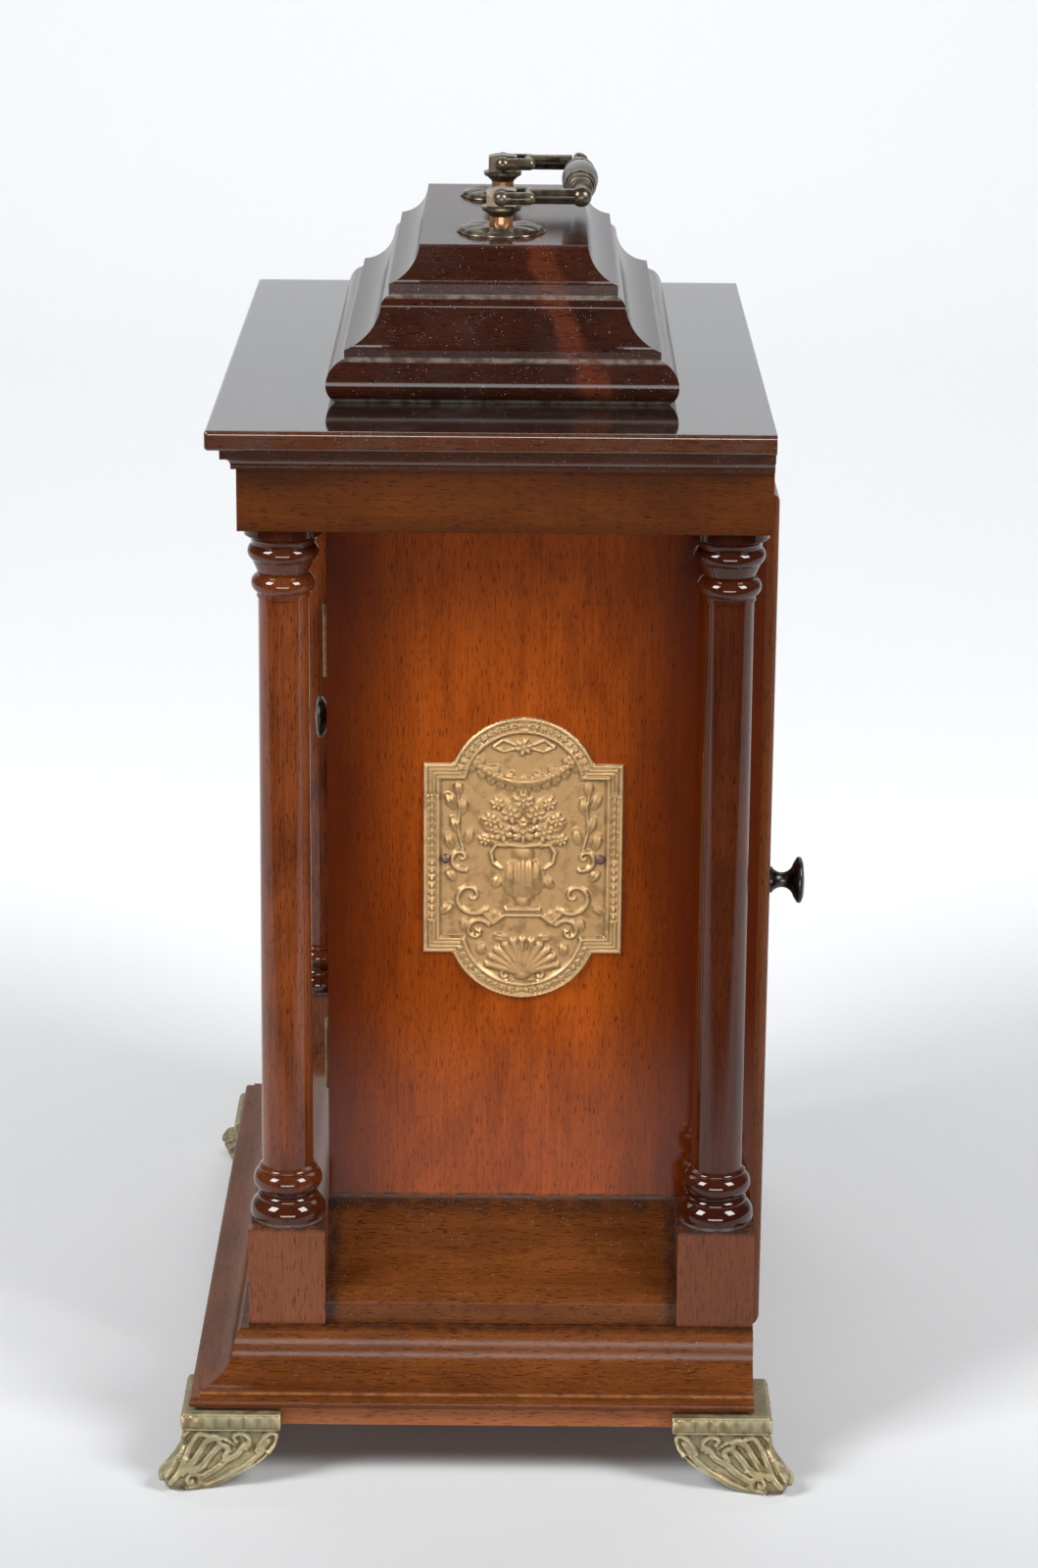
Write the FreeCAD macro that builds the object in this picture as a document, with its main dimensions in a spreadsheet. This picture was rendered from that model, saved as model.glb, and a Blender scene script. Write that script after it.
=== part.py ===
import FreeCAD, Part
import math
import os
import re
import Sketcher

# A bracket clock: a glazed wooden case between four turned columns, on cast corner feet, with a
# stepped caddy top, a carrying handle and a spring-driven pendulum movement with a passing strike.
# Millimetres. +Z is up, the dial faces -Y, and the origin is the centre of the base of the whole.

SIZES = [
    # the case
    ("case_width", 187.0),
    ("case_depth", 137.5),
    ("panel_thick", 10.0),
    ("recess", 30.5),
    ("plinth_side", 24.6),
    ("plinth_height", 33.0),
    ("column_height", 228.9),
    ("frieze_over", 1.0),
    ("frieze_height", 19.6),
    ("rail_thick", 12.0),
    ("cornice_moulding_height", 7.0),
    ("cornice_moulding_out", 4.7),
    ("cornice_out", 9.0),
    ("cornice_thick", 6.2),
    ("cornice_arris", 1.2),
    # the base
    ("base_over", 2.5),
    ("base_out", 16.0),
    ("base_height", 21.3),
    ("moulding_back", 12.0),
    ("lip_thick", 3.4),
    ("board_setback", 3.5),
    ("board_thick", 6.5),
    ("shelf_inset", 1.3),
    ("shelf_ledge", 7.2),
    ("shelf_round", 4.3),
    # the corner feet
    ("foot_height", 18.8),
    ("foot_flange_thick", 5.5),
    ("foot_flange_height", 5.4),
    ("foot_arm", 31.6),
    ("foot_toe_out", 7.0),
    ("foot_toe_width", 10.0),
    # the columns
    ("shaft_foot_radius", 8.2),
    ("shaft_head_radius", 7.8),
    ("column_base_height", 18.6),
    ("capital_height", 23.2),
    # the caddy top
    ("caddy_width", 183.0),
    ("caddy_depth", 109.4),
    ("caddy_forward", 3.25),
    ("caddy_lower_height", 13.2),
    ("caddy_middle_height", 17.5),
    ("caddy_upper_height", 14.7),
    # the handle
    ("handle_forward", 1.0),
    ("post_spacing", 75.5),
    ("post_radius", 3.7),
    ("post_collar_radius", 6.3),
    ("post_head_width", 9.4),
    ("post_head_thick", 6.2),
    ("post_pivot_height", 11.3),
    ("post_height", 14.7),
    ("post_spigot_radius", 2.0),
    ("post_spigot_length", 10.0),
    ("rosette_radius", 14.2),
    ("rosette_height", 2.6),
    ("bail_reach", 25.4),
    ("bail_arm_radius", 2.5),
    ("bail_prong_radius", 2.0),
    ("bail_ball_radius", 3.3),
    ("bail_grip_radius", 5.2),
    ("bail_pin_radius", 1.4),
    ("prong_gap", 0.3),
    # the side plaques
    ("plaque_width", 63.2),
    ("plaque_height", 63.0),
    ("plaque_lobe_width", 44.4),
    ("plaque_lobe_rise", 15.2),
    ("plaque_thick", 1.6),
    ("plaque_border", 5.2),
    ("plaque_sunk", 0.7),
    ("plaque_pin_radius", 1.0),
    ("plaque_pin_spacing", 49.2),
    ("plaque_pin_lip", 0.6),
    ("plaque_pin_clearance", 0.15),
    ("plaque_from_back", 75.2),
    ("plaque_above_base", 148.5),
    # doors, glass, hinges and knobs
    ("door_gap", 1.0),
    ("hinge_gap", 2.0),
    ("front_door_thick", 14.0),
    ("door_stile", 16.0),
    ("glass_thick", 2.5),
    ("glass_rebate", 4.0),
    ("glass_gap", 0.2),
    ("rear_door_thick", 3.9),
    ("rear_door_width", 186.0),
    ("rear_door_below", 12.2),
    ("rear_door_above", 5.7),
    ("rear_door_round", 3.0),
    ("leaf_thick", 0.8),
    ("leaf_height", 24.0),
    ("leaf_reach", 10.0),
    ("knuckle_radius", 1.7),
    ("hinge_pin_radius", 0.8),
    ("front_knuckle_radius", 1.1),
    ("front_pin_radius", 0.5),
    ("hinge_inset", 45.0),
    ("knob_length", 11.8),
    ("knob_radius", 7.2),
    ("knob_inset", 13.0),
    ("front_knob_height", 149.0),
    ("rear_knob_height", 137.7),
    # dial and hands
    ("dial_set_back", 26.0),
    ("dial_width", 160.0),
    ("dial_thick", 1.6),
    ("dial_above_shelf", 8.4),
    ("dial_arch_radius", 54.0),
    ("chapter_radius", 66.0),
    ("chapter_inner_radius", 46.5),
    ("chapter_thick", 1.0),
    ("arch_boss_radius", 26.0),
    ("minute_hand_length", 60.0),
    ("hour_hand_length", 41.0),
    ("hand_thick", 1.0),
    ("hand_boss_radius", 4.6),
    ("shown_hour", 10.0),
    ("shown_minute", 9.0),
    # movement
    ("plate_thick", 2.5),
    ("plate_gap", 40.0),
    ("plate_width", 84.0),
    ("plate_below", 62.0),
    ("plate_above", 58.0),
    ("motion_space", 12.4),
    ("pillar_radius", 3.2),
    ("pillar_inset", 6.0),
    ("seat_thick", 8.0),
    ("pivot_radius", 0.6),
    ("arbor_radius", 1.3),
    ("centre_arbor_radius", 1.6),
    ("running_gap", 0.05),
    ("wheel_thick", 1.5),
    ("barrel_drop", 36.0),
    ("barrel_radius", 19.0),
    ("barrel_length", 16.0),
    ("winding_radius", 2.5),
    ("third_side", 11.9),
    ("escape_radius", 13.0),
    ("bob_clearance", 2.1),
    ("rating_nut_drop", 3.2),
    ("crutch_length", 42.0),
    ("bob_radius", 14.0),
    ("hammer_side", 26.0),
    ("hammer_rise", 40.0),
    ("click_side", 15.6),
    ("bell_above_plates", 12.0),
    ("bell_radius", 27.0),
    ("bell_height", 20.0),
]

LAYOUT = [
    # places from front to back and from side to side
    ("front_reach", "case_depth + plinth_side + base_over + base_out - board_setback"
                    " + foot_flange_thick + foot_toe_out"),
    ("case_back", "(front_reach - rear_door_thick - knob_length) / 2"),
    ("case_front", "case_back - case_depth"),
    ("panel_face", "case_width / 2"),
    ("panel_inside", "panel_face - panel_thick"),
    ("plinth_face", "panel_face + recess"),
    ("plinth_inside", "plinth_face - plinth_side"),
    ("plinth_front", "case_front - plinth_side"),
    ("frieze_face", "plinth_face + frieze_over"),
    ("frieze_front", "plinth_front - frieze_over"),
    ("base_edge_side", "plinth_face + base_over"),
    ("base_edge_front", "plinth_front - base_over"),
    ("board_side", "base_edge_side + base_out - board_setback"),
    ("board_front", "base_edge_front - base_out + board_setback"),
    ("foot_side", "board_side + foot_flange_thick"),
    ("foot_front", "board_front - foot_flange_thick"),
    ("foot_back", "case_back + foot_flange_thick"),
    # heights
    ("base_bottom", "foot_height + board_thick"),
    ("base_top", "base_bottom + base_height"),
    ("plinth_top", "base_top + plinth_height"),
    ("column_top", "plinth_top + column_height"),
    ("frieze_top", "column_top + frieze_height"),
    ("slab_bottom", "frieze_top + cornice_moulding_height"),
    ("slab_top", "slab_bottom + cornice_thick"),
    ("caddy_middle_bottom", "slab_top + caddy_lower_height"),
    ("caddy_upper_bottom", "caddy_middle_bottom + caddy_middle_height"),
    ("caddy_top", "caddy_upper_bottom + caddy_upper_height"),
    ("caddy_centre", "(frieze_front - cornice_out + case_back) / 2 + caddy_forward"),
    ("handle_line", "caddy_centre - handle_forward"),
    # the front door and the dial
    ("door_width", "2 * panel_inside - door_gap - hinge_gap"),
    ("door_height", "column_height - 2 * door_gap"),
    ("door_middle", "(door_gap - hinge_gap) / 2"),
    ("dial_front", "case_front + dial_set_back"),
    ("dial_back", "dial_front + dial_thick"),
    ("dial_bottom", "plinth_top + dial_above_shelf"),
    ("dial_centre", "dial_bottom + dial_width / 2"),
    # the movement: great wheel and centre pinion, and so on up the train
    ("front_plate_face", "dial_back + motion_space"),
    ("plates_inside", "front_plate_face + plate_thick"),
    ("back_plate_inside", "plates_inside + plate_gap"),
    ("back_plate_face", "back_plate_inside + plate_thick"),
    ("great_distance", "0.9 * (48 + 8) / 2"),
    ("intermediate_distance", "0.7 * (48 + 8) / 2"),
    ("centre_distance", "0.56 * (60 + 6) / 2"),
    ("third_distance", "0.44 * (72 + 6) / 2"),
    ("motion_distance", "0.8 * (12 + 36) / 2"),
    ("barrel_z", "dial_centre - barrel_drop"),
    ("intermediate_drop", "(intermediate_distance ^ 2 - great_distance ^ 2 + barrel_drop ^ 2)"
                          " / (2 * barrel_drop)"),
    ("intermediate_x", "0 - sqrt(intermediate_distance ^ 2 - intermediate_drop ^ 2)"),
    ("intermediate_z", "dial_centre - intermediate_drop"),
    ("third_z", "dial_centre + sqrt(centre_distance ^ 2 - third_side ^ 2)"),
    ("escape_z", "third_z + sqrt(third_distance ^ 2 - third_side ^ 2)"),
    ("anchor_z", "escape_z + 1.4142 * escape_radius"),
    ("plaque_pin_seat", "plaque_pin_radius + plaque_pin_lip + plaque_pin_clearance"),
    ("pendulum_length", "anchor_z - base_top - bob_radius - rating_nut_drop - bob_clearance"),
    ("plate_top", "dial_centre + plate_above"),
    ("hammer_x", "0 - hammer_side"),
    ("hammer_z", "dial_centre + hammer_rise"),
    ("bell_x", "hammer_x + 6 + bell_radius"),
    ("bell_z", "plate_top + bell_above_plates"),
    ("cannon_bore", "centre_arbor_radius + running_gap"),
    ("cannon_pipe", "cannon_bore + 0.85"),
    ("hour_bore", "cannon_pipe + running_gap"),
    ("hour_pipe", "hour_bore + 0.85"),
    ("plate_bottom", "dial_centre - plate_below"),
]
# Teeth and modules of the train, as the distances above have them.
GREAT_TEETH = 48
INTERMEDIATE_TEETH = 48
INTERMEDIATE_LEAVES = 8
CENTRE_TEETH = 60
CENTRE_LEAVES = 8
THIRD_TEETH = 72
THIRD_LEAVES = 6
ESCAPE_TEETH = 39
ESCAPE_LEAVES = 6
CANNON_TEETH = 12
MINUTE_TEETH = 36
MINUTE_LEAVES = 12
HOUR_TEETH = 48
RATCHET_TEETH = 16
GREAT_MODULE = 0.9
INTERMEDIATE_MODULE = 0.7
CENTRE_MODULE = 0.56
THIRD_MODULE = 0.44
MOTION_MODULE = 0.8
HOUR_MODULE = 0.64

doc = FreeCAD.newDocument("bracket_clock")
X_AXIS = FreeCAD.Vector(1, 0, 0)
Y_AXIS = FreeCAD.Vector(0, 1, 0)
Z_AXIS = FreeCAD.Vector(0, 0, 1)
LAID_BACK = FreeCAD.Rotation(X_AXIS, -90)    # a piece turned along Z, laid along +Y
LAID_FRONT = FreeCAD.Rotation(X_AXIS, 90)    # a piece turned along Z, laid along -Y
UPRIGHT = FreeCAD.Rotation()
nodes = {}


# ---------------------------------------------------------------- sheets and expressions

def words(expression):
    """The expression with each size's name led by the sheet that holds it."""
    def lead(match):
        name = match.group(0)
        if name in size_names:
            return "Sizes." + name
        if name in layout_names:
            return "Layout." + name
        return name
    return re.sub(r"[a-z_]+", lead, str(expression))


def value(expression):
    """The number that an expression stands for."""
    return float(sizes.evalExpression(words(expression)))


size_names = {name for name, number in SIZES}
layout_names = {name for name, formula in LAYOUT}
sizes = doc.addObject("Spreadsheet::Sheet", "Sizes")
for row, (name, number) in enumerate(SIZES, start=1):
    sizes.set("A%d" % row, name)
    sizes.set("B%d" % row, str(number))
    sizes.setAlias("B%d" % row, name)
layout = doc.addObject("Spreadsheet::Sheet", "Layout")
for row, (name, formula) in enumerate(LAYOUT, start=1):
    layout.set("A%d" % row, name)
    layout.set("B%d" % row, "=" + words(formula).replace("Layout.", ""))
    layout.setAlias("B%d" % row, name)
doc.recompute()


def place(thing, x="0", y="0", z="0", turn=UPRIGHT):
    """Stands a piece at a place given in the sheets' words."""
    thing.Placement = FreeCAD.Placement(FreeCAD.Vector(value(x), value(y), value(z)), turn)
    thing.setExpression("Placement.Base.x", words(x))
    thing.setExpression("Placement.Base.y", words(y))
    thing.setExpression("Placement.Base.z", words(z))
    return thing


def keep(label, thing):
    """Names a finished sub-part."""
    thing.Label = label
    nodes[label] = thing
    return thing


# ---------------------------------------------------------------- sketches and solids

def fix_point(sketch, geometry, point, x, y):
    for kind, place_words in (("DistanceX", x), ("DistanceY", y)):
        number = sketch.addConstraint(
            Sketcher.Constraint(kind, -1, 1, geometry, point, value(place_words)))
        sketch.setExpression("Constraints[%d]" % number, words(place_words))


def draw_circle(sketch, x, y, radius):
    circle = Part.Circle(FreeCAD.Vector(value(x), value(y), 0), Z_AXIS, value(radius))
    geometry = sketch.addGeometry(circle, False)
    fix_point(sketch, geometry, 3, x, y)
    number = sketch.addConstraint(Sketcher.Constraint("Radius", geometry, value(radius)))
    sketch.setExpression("Constraints[%d]" % number, words(radius))


def draw_side(sketch, corner, following):
    """One side of an outline. A corner's third item is the bulge of the side that leaves it: the
    tangent of a quarter of the arc's turn, positive to the left."""
    x, y, bulge = (tuple(corner) + (0,))[:3]
    end_x, end_y = following[:2]
    start = FreeCAD.Vector(value(x), value(y), 0)
    end = FreeCAD.Vector(value(end_x), value(end_y), 0)
    if not bulge:
        geometry = sketch.addGeometry(Part.LineSegment(start, end), False)
        fix_point(sketch, geometry, 1, x, y)
        return geometry, 1, 2
    along = end - start
    across = FreeCAD.Vector(-along.y, along.x, 0)
    centre = (start + end) * 0.5 + across * ((1 - bulge ** 2) / (4 * bulge))
    radius = (start - centre).Length
    first, last = (start, end) if bulge > 0 else (end, start)
    angles = [math.atan2(p.y - centre.y, p.x - centre.x) for p in (first, last)]
    circle = Part.Circle(centre, Z_AXIS, radius)
    geometry = sketch.addGeometry(Part.ArcOfCircle(circle, angles[0], angles[1]), False)
    head, tail = (1, 2) if bulge > 0 else (2, 1)
    fix_point(sketch, geometry, head, x, y)
    number = sketch.addConstraint(Sketcher.Constraint("Radius", geometry, radius))
    size = abs(bulge)
    formula = "sqrt((({0}) - ({1})) ^ 2 + (({2}) - ({3})) ^ 2) * {4!r}".format(
        end_x, x, end_y, y, (1 + size ** 2) / (4 * size))
    sketch.setExpression("Constraints[%d]" % number, words(formula))
    return geometry, head, tail


def draw(sketch, loops):
    """Draws closed outlines, each a list of corners or one circle."""
    for loop in loops:
        if loop[0] == "circle":
            draw_circle(sketch, *loop[1:])
            continue
        sides = []
        for index, corner in enumerate(loop):
            following = loop[(index + 1) % len(loop)]
            sides.append(draw_side(sketch, corner, following))
        for index, (geometry, head, tail) in enumerate(sides):
            other, other_head, other_tail = sides[(index + 1) % len(sides)]
            sketch.addConstraint(
                Sketcher.Constraint("Coincident", geometry, tail, other, other_head))


def new_body(label):
    return doc.addObject("PartDesign::Body", label)


def body_sketch(body, plane, *loops):
    """A sketch on one of the body's own planes: XY_Plane, XZ_Plane or YZ_Plane."""
    sketch = body.newObject("Sketcher::SketchObject", "Sketch")
    support = [item for item in body.Origin.OriginFeatures if item.Role == plane][0]
    sketch.AttachmentSupport = (support, [""])
    sketch.MapMode = "FlatFace"
    draw(sketch, loops)
    return sketch


def raise_sketch(sketch, height):
    """Lifts a sketch off its plane, along its normal."""
    sketch.setExpression("AttachmentOffset.Base.z", words(height))


def add_pad(body, sketch, length, both_ways=False, backwards=False):
    pad = body.newObject("PartDesign::Pad", "Pad")
    pad.Profile = sketch
    pad.SideType = "Symmetric" if both_ways else "One side"
    pad.Reversed = backwards
    pad.setExpression("Length", words(length))
    doc.recompute()
    return pad


def add_pocket(body, sketch, depth=None, backwards=False):
    """Cuts a pocket, right through when no depth is given."""
    before = body.Shape.Volume
    pocket = body.newObject("PartDesign::Pocket", "Pocket")
    pocket.Profile = sketch
    pocket.Reversed = backwards
    if depth is None:
        pocket.Type = "ThroughAll"
        pocket.SideType = "Symmetric"
    else:
        pocket.Type = "Length"
        pocket.setExpression("Length", words(depth))
    doc.recompute()
    if body.Shape.Volume > before * 0.999999:
        raise ValueError("a pocket in %s cuts nothing" % body.Label)
    return pocket


def add_turning(body, sketch):
    turning = body.newObject("PartDesign::Revolution", "Revolution")
    turning.Profile = sketch
    turning.ReferenceAxis = (sketch, ["V_Axis"])
    turning.Angle = 360
    doc.recompute()
    return turning


def turned(label, *corners):
    """A piece turned about its own Z from half its section."""
    body = new_body(label)
    add_turning(body, body_sketch(body, "XZ_Plane", list(corners)))
    return body


def rectangle(low_x, low_y, high_x, high_y):
    return [(low_x, low_y), (high_x, low_y), (high_x, high_y), (low_x, high_y)]


def block(label, low, high):
    """A squared piece between two corners given in the sheets' words."""
    box = doc.addObject("Part::Box", label)
    for size, start, end in zip(("Length", "Width", "Height"), low, high):
        box.setExpression(size, words("(%s) - (%s)" % (end, start)))
    return place(box, *low)


def rod(label, radius, length, x="0", y="0", z="0", turn=UPRIGHT):
    cylinder = doc.addObject("Part::Cylinder", label)
    cylinder.setExpression("Radius", words(radius))
    cylinder.setExpression("Height", words(length))
    return place(cylinder, x, y, z, turn)


def fused(label, pieces):
    fuse = doc.addObject("Part::MultiFuse", label)
    fuse.Shapes = pieces
    return fuse


def cut(label, base, tool):
    result = doc.addObject("Part::Cut", label)
    result.Base = base
    result.Tool = tool
    return result


def group(label, pieces):
    """Separate pieces of one kind that share a node."""
    compound = doc.addObject("Part::Compound", label)
    compound.Links = pieces
    return keep(label, compound)


def free_sketch(label, turn, *loops):
    sketch = doc.addObject("Sketcher::SketchObject", label)
    sketch.Placement = FreeCAD.Placement(FreeCAD.Vector(0, 0, 0), turn)
    draw(sketch, loops)
    return sketch


def run_out(label, sketch, length, both_ways=True):
    """A length of moulding: the sketch's section run along its normal."""
    run = doc.addObject("Part::Extrusion", label)
    run.Base = sketch
    run.DirMode = "Normal"
    run.Solid = True
    run.Symmetric = both_ways
    run.setExpression("LengthFwd", words(length))
    return run


def shared(label, first, second):
    common = doc.addObject("Part::MultiCommon", label)
    common.Shapes = [first, second]
    return common


# A section drawn as (outwards, up) is stood on edge facing each way.
FACING_RIGHT = FreeCAD.Rotation(X_AXIS, 90)                       # outwards is +X, runs along Y
FACING_FRONT = FreeCAD.Rotation(FreeCAD.Vector(0, 0, -1), 90).multiply(FACING_RIGHT)


def mirrored(label, source):
    """The left-hand twin of a right-hand piece."""
    mirror = doc.addObject("Part::Mirroring", label)
    mirror.Source = source
    mirror.Normal = X_AXIS
    return mirror


def mitred_set(label, section, inner_side, inner_front, outer_side, outer_front, height, bottom):
    """Three lengths of one moulding round the front and sides, mitred at the front corners. The
    section is drawn outwards from the inner faces, which stand at inner_side and inner_front."""
    far = "2 * (%s) + 2 * case_depth" % outer_side
    plan_height = "2 * (%s)" % height
    side_section = free_sketch(label + "_side_section", FACING_RIGHT, section)
    side_run = run_out(label + "_side_run", side_section, far)
    place(side_run, inner_side, "0", bottom)
    side_plan = free_sketch(label + "_side_plan", UPRIGHT, [
        (inner_side, inner_front), (outer_side, outer_front),
        (outer_side, "case_back"), (inner_side, "case_back")])
    side_prism = run_out(label + "_side_prism", side_plan, plan_height, both_ways=False)
    place(side_prism, "0", "0", "(%s) - (%s) / 2" % (bottom, height))
    right = shared(label + "_right", side_run, side_prism)
    front_section = free_sketch(label + "_front_section", FACING_FRONT, section)
    front_run = run_out(label + "_front_run", front_section, far)
    place(front_run, "0", inner_front, bottom)
    front_plan = free_sketch(label + "_front_plan", UPRIGHT, [
        ("0 - (%s)" % inner_side, inner_front), ("0 - (%s)" % outer_side, outer_front),
        (outer_side, outer_front), (inner_side, inner_front)])
    front_prism = run_out(label + "_front_prism", front_plan, plan_height, both_ways=False)
    place(front_prism, "0", "0", "(%s) - (%s) / 2" % (bottom, height))
    front = shared(label + "_front", front_run, front_prism)
    left = mirrored(label + "_left", right)
    return [front, left, right]


# ---------------------------------------------------------------- base and feet

def make_base():
    keep("bottom_board", block("bottom_board", ("0 - board_side", "board_front", "foot_height"),
                               ("board_side", "case_back", "base_bottom")))
    keep("base_board", block(
        "base_board",
        ("moulding_back - base_edge_side", "base_edge_front + moulding_back", "base_bottom"),
        ("base_edge_side - moulding_back", "case_back", "base_top")))
    lip = "moulding_back + base_out - lip_thick / 2"
    section = [
        ("0", "0"),
        (lip, "0", 0.85),
        (lip, "lip_thick"),
        ("moulding_back + base_out * 0.775", "lip_thick"),
        ("moulding_back + base_out * 0.7625", "lip_thick + base_height * 0.07", -0.35),
        ("moulding_back + base_out * 0.1375", "base_height * 0.718", 0.12),
        ("moulding_back", "base_height"),
        ("0", "base_height")]
    group("base_moulding", mitred_set(
        "base_moulding", section,
        "base_edge_side - moulding_back", "base_edge_front + moulding_back",
        "base_edge_side + base_out", "base_edge_front - base_out", "base_height", "base_bottom"))


def foot_outline():
    """The bracket's silhouette, outwards along the arm from the flange's corner, z from the floor:
    a splayed toe, a bellied underside, and the flange that laps the board's edge."""
    return [
        ("3 - foot_toe_out", "0"),
        ("foot_toe_width - foot_toe_out + 3.5", "0", 0.1),
        ("foot_arm * 0.8", "foot_height * 0.45", 0.26),
        ("foot_arm - 1.2", "foot_height"),
        ("foot_arm", "foot_height"),
        ("foot_arm", "foot_height + foot_flange_height"),
        ("0", "foot_height + foot_flange_height"),
        ("0", "foot_height"),
        ("0.8", "foot_height"),
        ("0.8", "foot_height * 0.66", -0.2),
        ("1.6 - foot_toe_out", "foot_height * 0.4", 0.25),
        ("0 - foot_toe_out", "foot_height * 0.2", 0.3)]


def make_foot(label, x, y, quarter_turns):
    """A cast corner foot: two bracket faces meeting at a splayed toe, with a flange that wraps the
    corner of the bottom board."""
    first = free_sketch(label + "_face_side", FACING_RIGHT, foot_outline())
    second = free_sketch(label + "_face_front", FACING_FRONT.multiply(
        FreeCAD.Rotation(Y_AXIS, 180)), foot_outline())
    reach = "4 * foot_arm"
    whole = shared(label + "_whole", run_out(label + "_run_a", first, reach),
                   run_out(label + "_run_b", second, reach))
    seat = block(label + "_seat", ("foot_flange_thick", "foot_flange_thick", "foot_height"),
                 ("2 * foot_arm", "2 * foot_arm", "2 * foot_height"))
    hollow = block(label + "_hollow", ("foot_flange_thick", "foot_flange_thick",
                                       "foot_height * 0.3"),
                   ("2 * foot_arm", "2 * foot_arm", "foot_height - 2.5"))
    seated = cut(label + "_seated", whole, seat)
    foot = cut(label, seated, hollow)
    place(foot, x, y, "0", FreeCAD.Rotation(Z_AXIS, 90 * quarter_turns))
    return keep(label, foot)


def make_feet():
    make_foot("foot_front_left", "0 - foot_side", "foot_front", 0)
    make_foot("foot_front_right", "foot_side", "foot_front", 1)
    make_foot("foot_rear_right", "foot_side", "foot_back", 2)
    make_foot("foot_rear_left", "0 - foot_side", "foot_back", 3)


# ---------------------------------------------------------------- plinths, columns, shelf

def make_plinths():
    blocks = []
    for side, low, high in (("left", "0 - plinth_face", "0 - plinth_inside"),
                            ("right", "plinth_inside", "plinth_face")):
        blocks.append(block("plinth_front_" + side, (low, "plinth_front", "base_top"),
                            (high, "case_front", "plinth_top")))
    for side, low, high in (("left", "0 - plinth_face", "0 - panel_face"),
                            ("right", "panel_face", "plinth_face")):
        blocks.append(block("plinth_rear_" + side, (low, "case_back - plinth_side", "base_top"),
                            (high, "case_back", "plinth_top")))
    group("plinth_blocks", blocks)


def column(label, x, y):
    """A turned column: an attic base, a tapered shaft and a bell-shaped capital."""
    top = "column_height"
    body = turned(
        label,
        ("0", "0"),
        ("11.4", "0", 0.2),
        ("12.0", "2.8", 0.22),
        ("10.5", "6.6"),
        ("9.9", "7.2", 0.35),
        ("8.6", "9.2"),
        ("8.6", "9.6", 0.6),
        ("9.1", "16.8"),
        ("9.3", "17.0", 0.3),
        ("9.1", "17.9"),
        ("shaft_foot_radius", "column_base_height"),
        ("shaft_head_radius", top + " - capital_height"),
        ("shaft_head_radius + 0.5", top + " - capital_height"),
        ("shaft_head_radius + 0.5", top + " - 21.9"),
        ("8.4", top + " - 21.6", 0.57),
        ("8.4", top + " - 16.1"),
        ("7.8", top + " - 15.8"),
        ("9.7", top + " - 11.4", 0.48),
        ("10.0", top + " - 6.6"),
        ("9.8", top + " - 6.4", -0.3),
        ("11.8", top + " - 3.5"),
        ("12.0", top + " - 3.3"),
        ("12.0", top),
        ("0", top))
    return keep(label, place(body, x, y, "plinth_top"))


def make_columns():
    axis = "plinth_face - plinth_side / 2"
    for side, x in (("left", "0 - (%s)" % axis), ("right", axis)):
        column("column_front_" + side, x, "case_front - plinth_side / 2")
        column("column_rear_" + side, x, "case_back - plinth_side / 2")


def shelf_section(depth):
    """A broad cove over a small round and a fascia."""
    ledge = "%s - shelf_inset" % depth
    return [
        ("0", "0"),
        (ledge, "0"),
        (ledge, "shelf_ledge", 0.25),
        ("%s - shelf_round" % ledge, "shelf_ledge + shelf_round * 1.1", -0.3),
        ("0", "plinth_height")]


def make_shelf_moulding():
    side = free_sketch("shelf_side_section", FACING_RIGHT, shelf_section("recess"))
    right = run_out("shelf_moulding_right", side, "case_depth - plinth_side", both_ways=False)
    place(right, "panel_face", "case_back - plinth_side", "base_top")
    front = free_sketch("shelf_front_section", FACING_FRONT, shelf_section("plinth_side"))
    middle = run_out("shelf_moulding_front", front, "2 * plinth_inside")
    place(middle, "0", "case_front", "base_top")
    group("shelf_moulding", [middle, mirrored("shelf_moulding_left", right), right])


# ---------------------------------------------------------------- case

def make_case():
    for side, low, high in (("left", "0 - panel_face", "0 - panel_inside"),
                            ("right", "panel_inside", "panel_face")):
        keep("side_panel_" + side, block("side_panel_" + side, (low, "case_front", "base_top"),
                                         (high, "case_back", "slab_bottom")))


def make_frieze():
    height = "frieze_height + cornice_moulding_height"
    front_plan = free_sketch("frieze_front_plan", UPRIGHT, [
        ("0 - panel_face", "case_front"), ("0 - frieze_face", "frieze_front"),
        ("frieze_face", "frieze_front"), ("panel_face", "case_front")])
    front = run_out("frieze_front", front_plan, height, both_ways=False)
    place(front, "0", "0", "column_top")
    side_plan = free_sketch("frieze_side_plan", UPRIGHT, [
        ("panel_face", "case_front"), ("frieze_face", "frieze_front"),
        ("frieze_face", "case_back"), ("panel_face", "case_back")])
    right = run_out("frieze_right", side_plan, height, both_ways=False)
    place(right, "0", "0", "column_top")
    rear = block("frieze_rear", ("0 - panel_inside", "case_back - rail_thick", "column_top"),
                 ("panel_inside", "case_back", "slab_bottom"))
    group("frieze", [front, mirrored("frieze_left", right), right, rear])


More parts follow.
